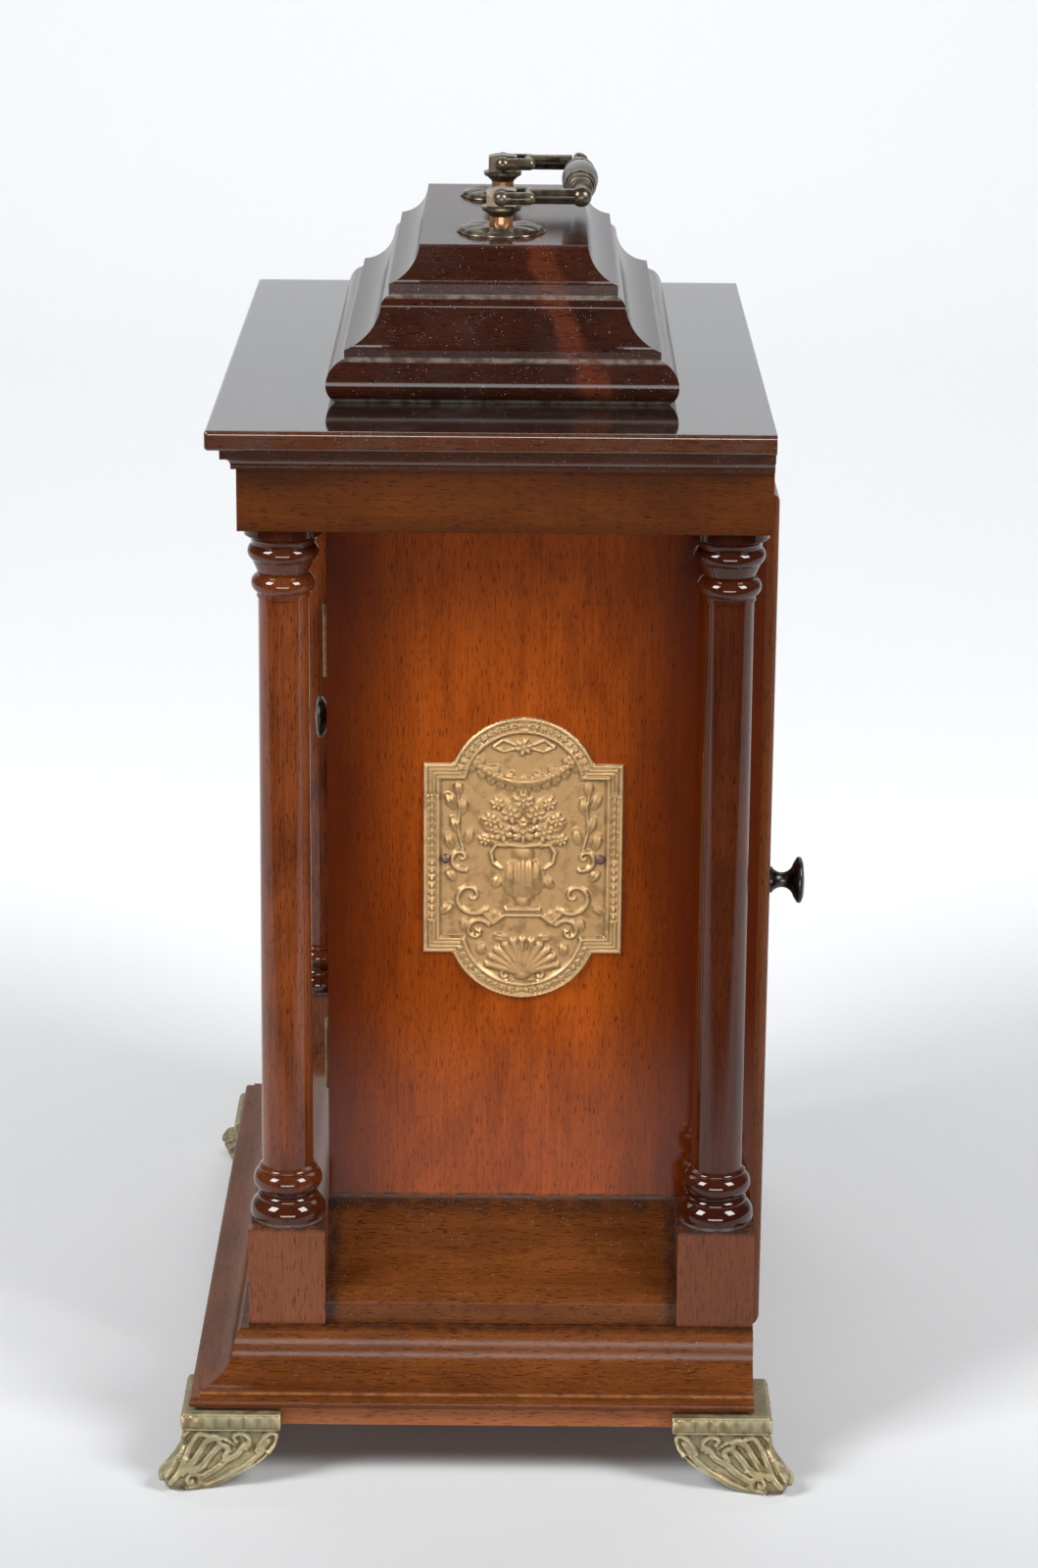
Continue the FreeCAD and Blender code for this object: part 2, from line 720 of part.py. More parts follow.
def make_cornice():
    section = [
        ("0", "0"),
        ("1.6", "0"),
        ("1.6", "0.8", -0.4),
        ("cornice_moulding_out - 0.9", "3.6"),
        ("cornice_moulding_out", "3.6"),
        ("cornice_moulding_out", "cornice_moulding_height"),
        ("0", "cornice_moulding_height")]
    group("cornice_moulding", mitred_set(
        "cornice_moulding", section, "frieze_face", "frieze_front",
        "frieze_face + cornice_moulding_out", "frieze_front - cornice_moulding_out",
        "cornice_moulding_height", "frieze_top"))
    body = new_body("cornice_board")
    add_pad(body, body_sketch(body, "XY_Plane", rectangle(
        "0 - frieze_face - cornice_out", "frieze_front - cornice_out",
        "frieze_face + cornice_out", "case_back")), "cornice_thick")
    back = value("case_back") - 1
    arris = [
        "Edge%d" % (number + 1) for number, edge in enumerate(body.Shape.Edges)
        if edge.CenterOfMass.y < back]
    slab = body.Tip
    fillet = body.newObject("PartDesign::Fillet", "Arris")
    fillet.Base = (slab, arris)
    fillet.setExpression("Radius", words("cornice_arris"))
    doc.recompute()
    keep("cornice_board", place(body, "0", "0", "slab_bottom"))


# ---------------------------------------------------------------- caddy top

def caddy_layer(label, bottom, profile):
    """A moulded layer, mitred at its corners. The profile lists (setback, up, bulge) from the
    widest line of the caddy, bottom to top."""
    runs = []
    for name, turn, half, length in (
            ("long", FACING_RIGHT, "caddy_width / 2", "2 * caddy_depth"),
            ("short", FACING_FRONT, "caddy_depth / 2", "2 * caddy_width")):
        outline = []
        for setback, up, bulge in profile:
            outline.append(("%s - %s" % (half, setback), up, bulge))
        for index in range(len(profile) - 1, -1, -1):
            setback, up, bulge = profile[index]
            arrives = profile[index - 1][2] if index > 0 else 0
            outline.append(("%s - (%s)" % (setback, half), up, arrives))
        sketch = free_sketch(label + "_" + name, turn, outline)
        run = run_out(label + "_" + name + "_run", sketch, length)
        runs.append(place(run, "0", "caddy_centre", bottom))
    return shared(label, runs[0], runs[1])


def make_caddy():
    lower, middle, upper = "caddy_lower_height", "caddy_middle_height", "caddy_upper_height"
    keep("caddy_lower", caddy_layer("caddy_lower", "slab_top", [
        ("2.9", "0", 0.243),
        ("0", lower + " * 0.42", 0.33),
        ("5.6", lower, 0)]))
    keep("caddy_middle", caddy_layer("caddy_middle", "caddy_middle_bottom", [
        ("5.6", "0", 0),
        ("5.6", middle + " * 0.15", -0.3),
        ("16.4", middle + " * 0.77", 0),
        ("16.6", middle + " * 0.8", 0.35),
        ("19.0", middle, 0)]))
    board = caddy_layer("caddy_upper_board", "caddy_upper_bottom", [
        ("19.0", "0", 0),
        ("19.0", upper + " * 0.24", -0.33),
        ("28.3", upper, 0)])
    holes = [
        rod("spigot_hole_" + side, "post_spigot_radius + 0.1", "post_spigot_length + 1",
            place_x, "handle_line", "caddy_top - post_spigot_length - 1")
        for side, place_x in (("left", "0 - post_spacing / 2"), ("right", "post_spacing / 2"))]
    keep("caddy_upper", cut("caddy_upper", board, fused("spigot_holes", holes)))


# ---------------------------------------------------------------- handle

def make_handle():
    posts = []
    rosettes = []
    for side, x in (("left", "0 - post_spacing / 2"), ("right", "post_spacing / 2")):
        body = new_body("handle_post_" + side)
        collar = "post_pivot_height - 5.5"
        add_turning(body, body_sketch(body, "XZ_Plane", [
            ("0", "0 - post_spigot_length"),
            ("post_spigot_radius", "0 - post_spigot_length"),
            ("post_spigot_radius", "0.1"),
            ("post_radius", "0.1"),
            ("post_radius", collar + " - 0.8"),
            ("post_collar_radius - 0.9", collar + " + 0.9", 0.4),
            ("post_collar_radius", collar + " + 1.6"),
            ("post_collar_radius", collar + " + 2.4"),
            ("0", collar + " + 2.4")]))
        head = body_sketch(body, "YZ_Plane", [
            ("0 - post_head_width / 2", collar + " + 2.2"),
            ("post_head_width / 2", collar + " + 2.2"),
            ("post_head_width / 2", "post_pivot_height + 1.9", 0.15),
            ("0 - post_head_width / 2", "post_pivot_height + 1.9")])
        add_pad(body, head, "post_head_thick", both_ways=True)
        hole = body_sketch(body, "YZ_Plane", ["circle", "0", "post_pivot_height",
                                              "bail_pin_radius + running_gap"])
        add_pocket(body, hole)
        posts.append(place(body, x, "handle_line", "caddy_top"))
        rosette = turned(
            "rosette_" + side,
            ("post_radius + running_gap", "0"),
            ("rosette_radius", "0", 0.3),
            ("rosette_radius - 2.4", "rosette_height * 0.8"),
            ("rosette_radius - 4.4", "rosette_height * 0.55"),
            ("post_radius + 2.2", "rosette_height * 0.7", 0.3),
            ("post_radius + running_gap", "rosette_height"))
        rosettes.append(place(rosette, x, "handle_line", "caddy_top"))
    group("handle_posts", posts)
    group("handle_rosettes", rosettes)
    make_bail()


def make_bail():
    """The bail: a forked arm at each post and a ringed grip between them. It lies to the rear."""
    height = "caddy_top + post_pivot_height"
    prong_side = "post_head_thick / 2 + prong_gap + bail_prong_radius"
    join = "post_head_width / 2 + 4.2"
    pieces = []
    for side, sign in (("left", "0 - "), ("right", "0 + ")):
        centre = sign + "post_spacing / 2"
        for name, offset in (("outer", "0 + "), ("inner", "0 - ")):
            x = "%s + (%s(%s))" % (centre, offset, prong_side)
            label = "prong_%s_%s" % (side, name)
            pieces.append(rod(label, "bail_prong_radius", join, x, "handle_line", height,
                              LAID_BACK))
            for end, y in (("eye", "handle_line"), ("root", "handle_line + " + join)):
                ball = doc.addObject("Part::Sphere", label + "_" + end)
                ball.setExpression("Radius", words(
                    "bail_prong_radius * 1.25" if end == "eye" else "bail_prong_radius"))
                pieces.append(place(ball, x, y, height))
        across = FreeCAD.Rotation(Y_AXIS, 90)
        pieces.append(rod("yoke_" + side, "bail_prong_radius", "2 * (%s)" % prong_side,
                          "%s - (%s)" % (centre, prong_side), "handle_line + " + join, height,
                          across))
        pieces.append(rod("bail_pin_" + side, "bail_pin_radius", "2 * (%s)" % prong_side,
                          "%s - (%s)" % (centre, prong_side), "handle_line", height, across))
        pieces.append(rod("bail_arm_" + side, "bail_arm_radius", "bail_reach - (%s)" % join,
                          centre, "handle_line + " + join, height, LAID_BACK))
        elbow = doc.addObject("Part::Sphere", "elbow_" + side)
        elbow.setExpression("Radius", words("bail_ball_radius"))
        pieces.append(place(elbow, centre, "handle_line + bail_reach", height))
    half = "post_spacing / 2"
    grip = turned(
        "bail_grip",
        ("0", "0 - " + half),
        ("2.4", "0 - " + half),
        ("2.6", "5 - " + half),
        ("2.4", "0 - 25"),
        ("bail_grip_radius - 2.2", "0 - 24", 0.5),
        ("bail_grip_radius - 2.2", "0 - 20.5"),
        ("bail_grip_radius - 1.5", "0 - 20", 0.5),
        ("bail_grip_radius - 1.5", "0 - 16"),
        ("bail_grip_radius - 1.0", "0 - 15.5", 0.5),
        ("bail_grip_radius - 1.0", "0 - 11.5"),
        ("bail_grip_radius - 0.6", "0 - 11", 0.12),
        ("bail_grip_radius - 0.6", "11"),
        ("bail_grip_radius - 1.0", "11.5", 0.5),
        ("bail_grip_radius - 1.0", "15.5"),
        ("bail_grip_radius - 1.5", "16", 0.5),
        ("bail_grip_radius - 1.5", "20"),
        ("bail_grip_radius - 2.2", "20.5", 0.5),
        ("bail_grip_radius - 2.2", "24"),
        ("2.4", "25"),
        ("2.6", half + " - 5"),
        ("2.4", half),
        ("0", half))
    place(grip, "0", "handle_line + bail_reach", height, FreeCAD.Rotation(Y_AXIS, 90))
    keep("handle_bail", fused("handle_bail", pieces + [grip]))


# ---------------------------------------------------------------- plaques

def plaque_outline(inset):
    """A square plaque with a lobe above and below, drawn inwards by the inset."""
    side = "plaque_width / 2 - %s" % inset
    edge = "plaque_height / 2 - %s" % inset
    lobe = "plaque_lobe_width / 2 - %s" % inset
    bulge = 2 * value("plaque_lobe_rise") / value("plaque_lobe_width")
    return [
        ("0 - (%s)" % side, "0 - (%s)" % edge),
        ("0 - (%s)" % lobe, "0 - (%s)" % edge, bulge),
        (lobe, "0 - (%s)" % edge),
        (side, "0 - (%s)" % edge),
        (side, edge),
        (lobe, edge, bulge),
        ("0 - (%s)" % lobe, edge),
        ("0 - (%s)" % side, edge)]


def make_plaques():
    pins = []
    for name, sign, turn in (("right", "0 + ", 0), ("left", "0 - ", 180)):
        body = new_body("plaque_" + name)
        add_pad(body, body_sketch(body, "YZ_Plane", plaque_outline("0")), "plaque_thick")
        # each pin head has its seat, also where it reaches into the raised border
        seats = body_sketch(
            body, "YZ_Plane",
            ["circle", "0 - plaque_pin_spacing / 2", "0", "plaque_pin_seat"],
            ["circle", "plaque_pin_spacing / 2", "0", "plaque_pin_seat"])
        raise_sketch(seats, "plaque_thick")
        add_pocket(body, seats, "plaque_sunk")
        field = body_sketch(body, "YZ_Plane", plaque_outline("plaque_border"))
        raise_sketch(field, "plaque_thick")
        add_pocket(body, field, "plaque_sunk")
        holes = body_sketch(
            body, "YZ_Plane",
            ["circle", "0 - plaque_pin_spacing / 2", "0", "plaque_pin_radius"],
            ["circle", "plaque_pin_spacing / 2", "0", "plaque_pin_radius"])
        add_pocket(body, holes)
        keep("plaque_" + name, place(body, sign + "panel_face", "case_back - plaque_from_back",
                                     "base_top + plaque_above_base",
                                     FreeCAD.Rotation(Z_AXIS, turn)))
        for where in ("0 - ", "0 + "):
            pin = turned(
                "plaque_pin",
                ("0", "0"),
                ("plaque_pin_radius", "0"),
                ("plaque_pin_radius", "plaque_thick - plaque_sunk"),
                ("plaque_pin_radius + plaque_pin_lip", "plaque_thick - plaque_sunk"),
                ("plaque_pin_radius + plaque_pin_lip", "plaque_thick - plaque_sunk + 0.3", 0.35),
                ("plaque_pin_radius - 0.4", "plaque_thick - plaque_sunk + 0.9"),
                ("0", "plaque_thick - plaque_sunk + 0.9"))
            outward = FreeCAD.Rotation(Y_AXIS, 90 if turn == 0 else -90)
            pins.append(place(pin, sign + "panel_face",
                              "case_back - plaque_from_back + (%splaque_pin_spacing / 2)" % where,
                              "base_top + plaque_above_base", outward))
    group("plaque_pins", pins)


# ---------------------------------------------------------------- doors

def arched(inset):
    """The glazed opening's outline: square-shouldered with a round arch above."""
    side = "door_width / 2 - door_stile - %s" % inset
    arch = "dial_arch_radius - 4 - %s" % inset
    spring = "door_height - door_stile - dial_arch_radius + 4"
    return [
        ("0 - (%s)" % side, "door_stile + %s" % inset),
        (side, "door_stile + %s" % inset),
        (side, "%s - %s" % (spring, inset)),
        (arch, "%s - %s" % (spring, inset), 0.95),
        ("0 - (%s)" % arch, "%s - %s" % (spring, inset)),
        ("0 - (%s)" % side, "%s - %s" % (spring, inset))]


def knob(label, x, y, z, turn):
    body = turned(
        label,
        ("0", "0"),
        ("knob_radius * 0.59", "0"),
        ("knob_radius * 0.59", "1.2", -0.3),
        ("knob_radius * 0.34", "knob_length * 0.42", -0.3),
        ("knob_radius * 0.72", "knob_length * 0.68"),
        ("knob_radius", "knob_length * 0.78", 0.4),
        ("knob_radius", "knob_length * 0.9"),
        ("knob_radius * 0.8", "knob_length * 0.95"),
        ("0", "knob_length"))
    return keep(label, place(body, x, y, z, turn))


def make_front_door():
    body = new_body("front_door_frame")
    outline = rectangle("0 - door_width / 2", "0", "door_width / 2", "door_height")
    add_pad(body, body_sketch(body, "XZ_Plane", outline, arched("0")), "front_door_thick")
    rebate = body_sketch(body, "XZ_Plane", arched("0 - glass_rebate"))
    add_pocket(body, rebate, "glass_rebate + glass_thick", backwards=True)
    back = "case_front + front_door_thick"
    bottom = "plinth_top + door_gap"
    keep("front_door_frame", place(body, "door_middle", back, bottom))
    pane = new_body("front_glass")
    add_pad(pane, body_sketch(pane, "XZ_Plane", arched("glass_gap - glass_rebate")), "glass_thick")
    keep("front_glass", place(pane, "door_middle", back + " - glass_rebate", bottom))
    knob("front_knob", "knob_inset - (door_width / 2 - door_middle)", "case_front",
         "base_top + front_knob_height", LAID_FRONT)


def make_rear_door():
    body = new_body("rear_door")
    height = "column_height + plinth_height + rear_door_below + rear_door_above"
    half = "rear_door_width / 2"
    add_pad(body, body_sketch(body, "XZ_Plane", rectangle("0 - " + half, "0", half, height)),
            "rear_door_thick", backwards=True)
    outer = value("rear_door_thick") - 0.01
    arris = ["Edge%d" % (number + 1) for number, edge in enumerate(body.Shape.Edges)
             if edge.BoundBox.YMin > outer]
    board = body.Tip
    rounding = body.newObject("PartDesign::Fillet", "Rounding")
    rounding.Base = (board, arris)
    rounding.setExpression("Radius", words("min(rear_door_round; rear_door_thick * 0.9)"))
    doc.recompute()
    keep("rear_door", place(body, "0", "case_back", "base_top - rear_door_below"))
    knob("rear_knob", half + " - knob_inset", "case_back + rear_door_thick",
         "base_top + rear_knob_height", LAID_BACK)


def leaf(label, plate_low, plate_high, tab_low, tab_high, pin_x, pin_y, middle, knuckles, fixed,
         knuckle="knuckle_radius", pin="hinge_pin_radius"):
    """One leaf of a butt hinge: a plate with tabs to its knuckles, each a third of the leaf high.
    The fixed leaf holds the pin, and the other one turns on it."""
    bottom = "(%s) - leaf_height / 2" % middle
    top = "(%s) + leaf_height / 2" % middle
    pieces = [block(label + "_plate", plate_low + (bottom,), plate_high + (top,))]
    for third in knuckles:
        low = "%s + leaf_height * %d / 3 + running_gap" % (bottom, third)
        high = "%s + leaf_height * %d / 3 - running_gap" % (bottom, third + 1)
        pieces.append(block("%s_tab_%d" % (label, third), tab_low + (low,), tab_high + (high,)))
        pieces.append(rod("%s_knuckle_%d" % (label, third), knuckle,
                          "leaf_height / 3 - 2 * running_gap", pin_x, pin_y, low))
    if fixed:
        pieces.append(rod(label + "_pin", pin, "leaf_height", pin_x, pin_y, bottom))
        return fused(label, pieces)
    bore = rod(label + "_bore", pin + " + running_gap", "leaf_height", pin_x, pin_y, bottom)
    return cut(label, fused(label + "_solid", pieces), bore)


def make_hinges():
    case_leaves = []
    front_leaves = []
    rear_leaves = []
    front_x = "panel_inside - hinge_gap / 2"
    front_y = "case_front - front_knuckle_radius * 0.45"
    clear_y = "case_front + front_knuckle_radius * 0.65"
    small = ("front_knuckle_radius", "front_pin_radius")
    rear_x = "0 - panel_face - knuckle_radius * 0.7"
    rear_y = "case_back + rear_door_thick + leaf_thick - 0.1"
    for place_name, middle in (("lower", "plinth_top + hinge_inset"),
                               ("upper", "column_top - hinge_inset")):
        case_leaves.append(leaf(
            "front_fixed_leaf_" + place_name,
            ("panel_inside - leaf_thick", clear_y), ("panel_inside", "case_front + leaf_reach"),
            ("panel_inside - leaf_thick", front_y), ("panel_inside", clear_y),
            front_x, front_y, middle, (0, 2), True, *small))
        front_leaves.append(leaf(
            "front_door_leaf_" + place_name,
            ("panel_inside - hinge_gap", clear_y),
            ("panel_inside - hinge_gap + leaf_thick", "case_front + leaf_reach"),
            ("panel_inside - hinge_gap", front_y),
            ("panel_inside - hinge_gap + leaf_thick", clear_y),
            front_x, front_y, middle, (1,), False, *small))
        case_leaves.append(leaf(
            "rear_fixed_leaf_" + place_name,
            ("0 - panel_face - leaf_thick", "case_back - leaf_reach"),
            ("0 - panel_face", "case_back"),
            ("0 - panel_face - leaf_thick", "case_back"), ("0 - panel_face", rear_y),
            rear_x, rear_y, middle, (0, 2), True))
        rear_leaves.append(leaf(
            "rear_door_leaf_" + place_name,
            ("knuckle_radius - rear_door_width / 2", "case_back + rear_door_thick"),
            ("leaf_reach - rear_door_width / 2", "case_back + rear_door_thick + leaf_thick"),
            (rear_x, "case_back + rear_door_thick"),
            ("knuckle_radius - rear_door_width / 2", "case_back + rear_door_thick + leaf_thick"),
            rear_x, rear_y, middle, (1,), False))
    group("case_hinge_leaves", case_leaves)
    group("front_hinge_leaves", front_leaves)
    group("rear_hinge_leaves", rear_leaves)


# ---------------------------------------------------------------- dial and hands

def make_dial():
    body = new_body("dial_plate")
    half = "dial_width / 2"
    add_pad(body, body_sketch(body, "XZ_Plane", [
        ("0 - " + half, "0 - " + half),
        (half, "0 - " + half),
        (half, half),
        ("dial_arch_radius", half, 0.95),
        ("0 - dial_arch_radius", half),
        ("0 - " + half, half)]), "dial_thick", backwards=True)
    feet = []
    for x in ("0 - dial_foot_x", "dial_foot_x"):
        for z in ("0 - dial_foot_z", "dial_foot_z"):
            feet.append(["circle", x, z, "2"])
    foot_words = {"dial_foot_x": "(plate_width / 2 - 6)", "dial_foot_z": "(plate_above - 14)"}
    feet = [[re.sub("dial_foot_[xz]", lambda found: foot_words[found.group(0)], item)
             for item in foot] for foot in feet]
    pillars = body_sketch(body, "XZ_Plane", *feet)
    add_pad(body, pillars, "dial_thick + motion_space", backwards=True)
    boss = body_sketch(body, "XZ_Plane",
                       ["circle", "0", half + " + dial_arch_radius * 0.42", "arch_boss_radius"])
    add_pad(body, boss, "chapter_thick")
    holes = body_sketch(body, "XZ_Plane", ["circle", "0", "0", "5"],
                        ["circle", "0", "0 - barrel_drop", "winding_radius + 1.8"])
    add_pocket(body, holes)
    keep("dial_plate", place(body, "0", "dial_front", "dial_centre"))
    ring = new_body("chapter_ring")
    add_pad(ring, body_sketch(ring, "XZ_Plane", ["circle", "0", "0", "chapter_radius"],
                              ["circle", "0", "0", "chapter_inner_radius"]), "chapter_thick")
    keep("chapter_ring", place(ring, "0", "dial_front", "dial_centre"))


def hand(label, length, boss, bore, waist, blade, y, clockwise):
    """A spade hand: a boss on its pipe, a thin waist, a spade and a point. It is drawn pointing up
    and turned clockwise, as seen from the front, to the time that it shows."""
    body = new_body(label)
    spade = "%s * 0.62" % length
    add_pad(body, body_sketch(body, "XZ_Plane", [
        (waist, "0"),
        (waist, spade),
        (blade, spade + " + %s * 1.1" % blade, 0.35),
        (waist, spade + " + %s * 2.6" % blade, -0.1),
        ("0", length, -0.1),
        ("0 - %s" % waist, spade + " + %s * 2.6" % blade, 0.35),
        ("0 - %s" % blade, spade + " + %s * 1.1" % blade),
        ("0 - %s" % waist, spade),
        ("0 - %s" % waist, "0")]), "hand_thick")
    add_pad(body, body_sketch(body, "XZ_Plane", ["circle", "0", "0", boss]), "hand_thick * 1.5")
    add_pocket(body, body_sketch(body, "XZ_Plane", ["circle", "0", "0", bore]))
    place(body, "0", y, "dial_centre", FreeCAD.Rotation(Y_AXIS, clockwise))
    return keep(label, body)


def make_hands():
    minute_turn = value("shown_minute * 6")
    hour_turn = value("shown_hour * 30 + shown_minute / 2")
    hand("hour_hand", "hour_hand_length", "hand_boss_radius", "hour_pipe + 0.02", "1.3", "4.4",
         "dial_front - 2.4", hour_turn)
    hand("minute_hand", "minute_hand_length", "hand_boss_radius - 0.8", "cannon_pipe + 0.02", "1.1", "3.2",
         "dial_front - 5.2", minute_turn)


# ---------------------------------------------------------------- toothed wheels

def polygon(points):
    vectors = [FreeCAD.Vector(x, y, 0) for x, y in points]
    return Part.Face(Part.makePolygon(vectors + vectors[:1]))


def gear(teeth, module, thick, level, facing):
    """A toothed disc with its first tooth facing an angle. A wheel's teeth are pointed, and the
    narrow leaves of a pinion run deep between them."""
    pitch_radius = teeth * module / 2
    step = 2 * math.pi / teeth
    if teeth > 20:
        rim = [(-0.39, pitch_radius - 1.25 * module), (0.0, pitch_radius + 0.95 * module),
               (0.39, pitch_radius - 1.25 * module)]
    else:
        rim = [(-0.2, pitch_radius - 1.25 * module), (-0.11, pitch_radius + 0.75 * module),
               (0.11, pitch_radius + 0.75 * module), (0.2, pitch_radius - 1.25 * module)]
    points = []
    for tooth in range(teeth):
        for offset, radius in rim:
            angle = facing + (tooth + offset) * step
            points.append((radius * math.cos(angle), radius * math.sin(angle)))
    solid = polygon(points).extrude(FreeCAD.Vector(0, 0, thick))
    solid.translate(FreeCAD.Vector(0, 0, level))
    return solid


def saw_wheel(teeth, root, tip, lean, thick, level):
    """A wheel with one-sided teeth, for an escapement or a ratchet."""
    step = 2 * math.pi / teeth
    points = []
    for tooth in range(teeth):
        for offset, radius in ((0.0, root), (lean, tip), (0.55, root)):
            angle = (tooth + offset) * step
            points.append((radius * math.cos(angle), radius * math.sin(angle)))
    solid = polygon(points).extrude(FreeCAD.Vector(0, 0, thick))
    solid.translate(FreeCAD.Vector(0, 0, level))
    return solid


def crossed_out(wheel, rim_radius, hub_radius, spokes, thick, level):
    """Cuts a wheel's windows and leaves its spokes."""
    rim = Part.makeCylinder(rim_radius, thick, FreeCAD.Vector(0, 0, level))
    hub = Part.makeCylinder(hub_radius, thick, FreeCAD.Vector(0, 0, level))
    waste = rim.cut(hub)
    arm = hub_radius * 0.5
    for spoke in range(spokes):
        bar = Part.makeBox(rim_radius, arm, thick, FreeCAD.Vector(0, -arm / 2, level))
        bar.rotate(FreeCAD.Vector(0, 0, 0), Z_AXIS, spoke * 360.0 / spokes)
        waste = waste.cut(bar)
    return wheel.cut(waste)


def cylinder(radius, low, high):
    return Part.makeCylinder(radius, high - low, FreeCAD.Vector(0, 0, low))


def set_shape(label, pieces, bores, x, y, z, turn=LAID_BACK):
    """Joins worked pieces into one solid, bores it, and lays it in its place."""
    solid = pieces[0]
    if len(pieces) > 1:
        solid = solid.multiFuse(pieces[1:])
    for bore in bores:
        solid = solid.cut(bore)
    if solid.Solids and len(solid.Solids) == 1:
        solid = solid.Solids[0]
    feature = doc.addObject("Part::Feature", label)
    feature.Shape = solid
    place(feature, x, y, z, turn)
    return keep(label, feature)


def bearing(from_x, from_z, to_x, to_z):
    """The angle from one arbor to another, as a wheel laid along +Y has it."""
    return math.atan2(-(value(to_z) - value(from_z)), value(to_x) - value(from_x))


def half_gap(teeth):
    return math.pi / teeth


# Where each arbor's wheel and pinion lie, back from the front plate's inner face.
GREAT_LEVEL = 21.0
GREAT_THICK = 2.5
INTERMEDIATE_LEVEL = 34.0
CENTRE_LEVEL = 28.0
THIRD_LEVEL = 13.0
ESCAPE_LEVEL = 24.0


def arbor(label, radius, x, z, wheel_parts):
    """A steel arbor between the plates, with a thin pivot at each end."""
    gap = value("plate_gap")
    plate = value("plate_thick")
    shoulder = 0.3
    staff = cylinder(radius, shoulder, gap - shoulder)
    pivots = cylinder(value("pivot_radius"), -plate, gap + plate)
    return set_shape(label, [staff, pivots] + wheel_parts, [], x, "plates_inside", z)


def make_train():
    thick = value("wheel_thick")
    # great wheel and barrel, which turn on the winding arbor
    to_intermediate = bearing("0", "barrel_z", "intermediate_x", "intermediate_z")
    drum = cylinder(value("barrel_radius"), GREAT_LEVEL - value("barrel_length"), GREAT_LEVEL)
    cap = cylinder(value("barrel_radius") * 0.86, GREAT_LEVEL - value("barrel_length") - 1,
                   GREAT_LEVEL - value("barrel_length"))
    hub = cylinder(value("winding_radius") + 1.5, GREAT_LEVEL - value("barrel_length") - 2,
                   GREAT_LEVEL + GREAT_THICK + 2)
    great = gear(GREAT_TEETH, GREAT_MODULE, GREAT_THICK, GREAT_LEVEL, to_intermediate)
    bore = cylinder(value("winding_radius + running_gap"), -1, value("plate_gap") + 1)
    set_shape("going_barrel", [drum, cap, hub, great], [bore], "0", "plates_inside", "barrel_z")
    # intermediate wheel
    back_to_barrel = bearing("intermediate_x", "intermediate_z", "0", "barrel_z")
    to_centre = bearing("intermediate_x", "intermediate_z", "0", "dial_centre")
    wheel = gear(INTERMEDIATE_TEETH, INTERMEDIATE_MODULE, thick, INTERMEDIATE_LEVEL, to_centre)
    wheel = crossed_out(wheel, 13.6, 5.0, 4, thick, INTERMEDIATE_LEVEL)
    pinion = gear(INTERMEDIATE_LEAVES, GREAT_MODULE, 8.0, GREAT_LEVEL - 2.5,
                  back_to_barrel + half_gap(INTERMEDIATE_LEAVES))
    arbor("intermediate_wheel", value("arbor_radius"), "intermediate_x", "intermediate_z", [wheel, pinion])
    # centre wheel, whose arbor runs on through the front plate to carry the cannon pinion
    back_to_intermediate = bearing("0", "dial_centre", "intermediate_x", "intermediate_z")
    to_third = bearing("0", "dial_centre", "third_side", "third_z")
    wheel = gear(CENTRE_TEETH, CENTRE_MODULE, thick, CENTRE_LEVEL, to_third)
    wheel = crossed_out(wheel, 14.4, 4.5, 4, thick, CENTRE_LEVEL)
    pinion = gear(CENTRE_LEAVES, INTERMEDIATE_MODULE, 6.0, INTERMEDIATE_LEVEL - 2.5,
                  back_to_intermediate + half_gap(CENTRE_LEAVES))
    plate = value("plate_thick")
    staff = cylinder(value("centre_arbor_radius"), -plate - value("motion_space") - 8.0,
                     value("plate_gap") - 0.3)
    pivot = cylinder(value("pivot_radius"), value("plate_gap") - 1, value("plate_gap") + plate)
    set_shape("centre_wheel", [staff, pivot, wheel, pinion], [], "0", "plates_inside",
              "dial_centre")
    # third wheel
    back_to_centre = bearing("third_side", "third_z", "0", "dial_centre")
    to_escape = bearing("third_side", "third_z", "0", "escape_z")
    wheel = gear(THIRD_TEETH, THIRD_MODULE, thick, THIRD_LEVEL, to_escape)
    wheel = crossed_out(wheel, 13.6, 4.0, 4, thick, THIRD_LEVEL)
    pinion = gear(THIRD_LEAVES, CENTRE_MODULE, 5.0, CENTRE_LEVEL - 1.8,
                  back_to_centre + half_gap(THIRD_LEAVES))
    arbor("third_wheel", 0.95, "third_side", "third_z", [wheel, pinion])
    # escape wheel
    back_to_third = bearing("0", "escape_z", "third_side", "third_z")
    tip = value("escape_radius")
    wheel = saw_wheel(ESCAPE_TEETH, tip - 2.2, tip, 0.1, thick, ESCAPE_LEVEL)
    wheel = crossed_out(wheel, tip - 3.6, 3.2, 4, thick, ESCAPE_LEVEL)
    pinion = gear(ESCAPE_LEAVES, THIRD_MODULE, 5.0, THIRD_LEVEL - 1.8,
                  back_to_third + half_gap(ESCAPE_LEAVES))
    arbor("escape_wheel", 0.75, "0", "escape_z", [wheel, pinion])


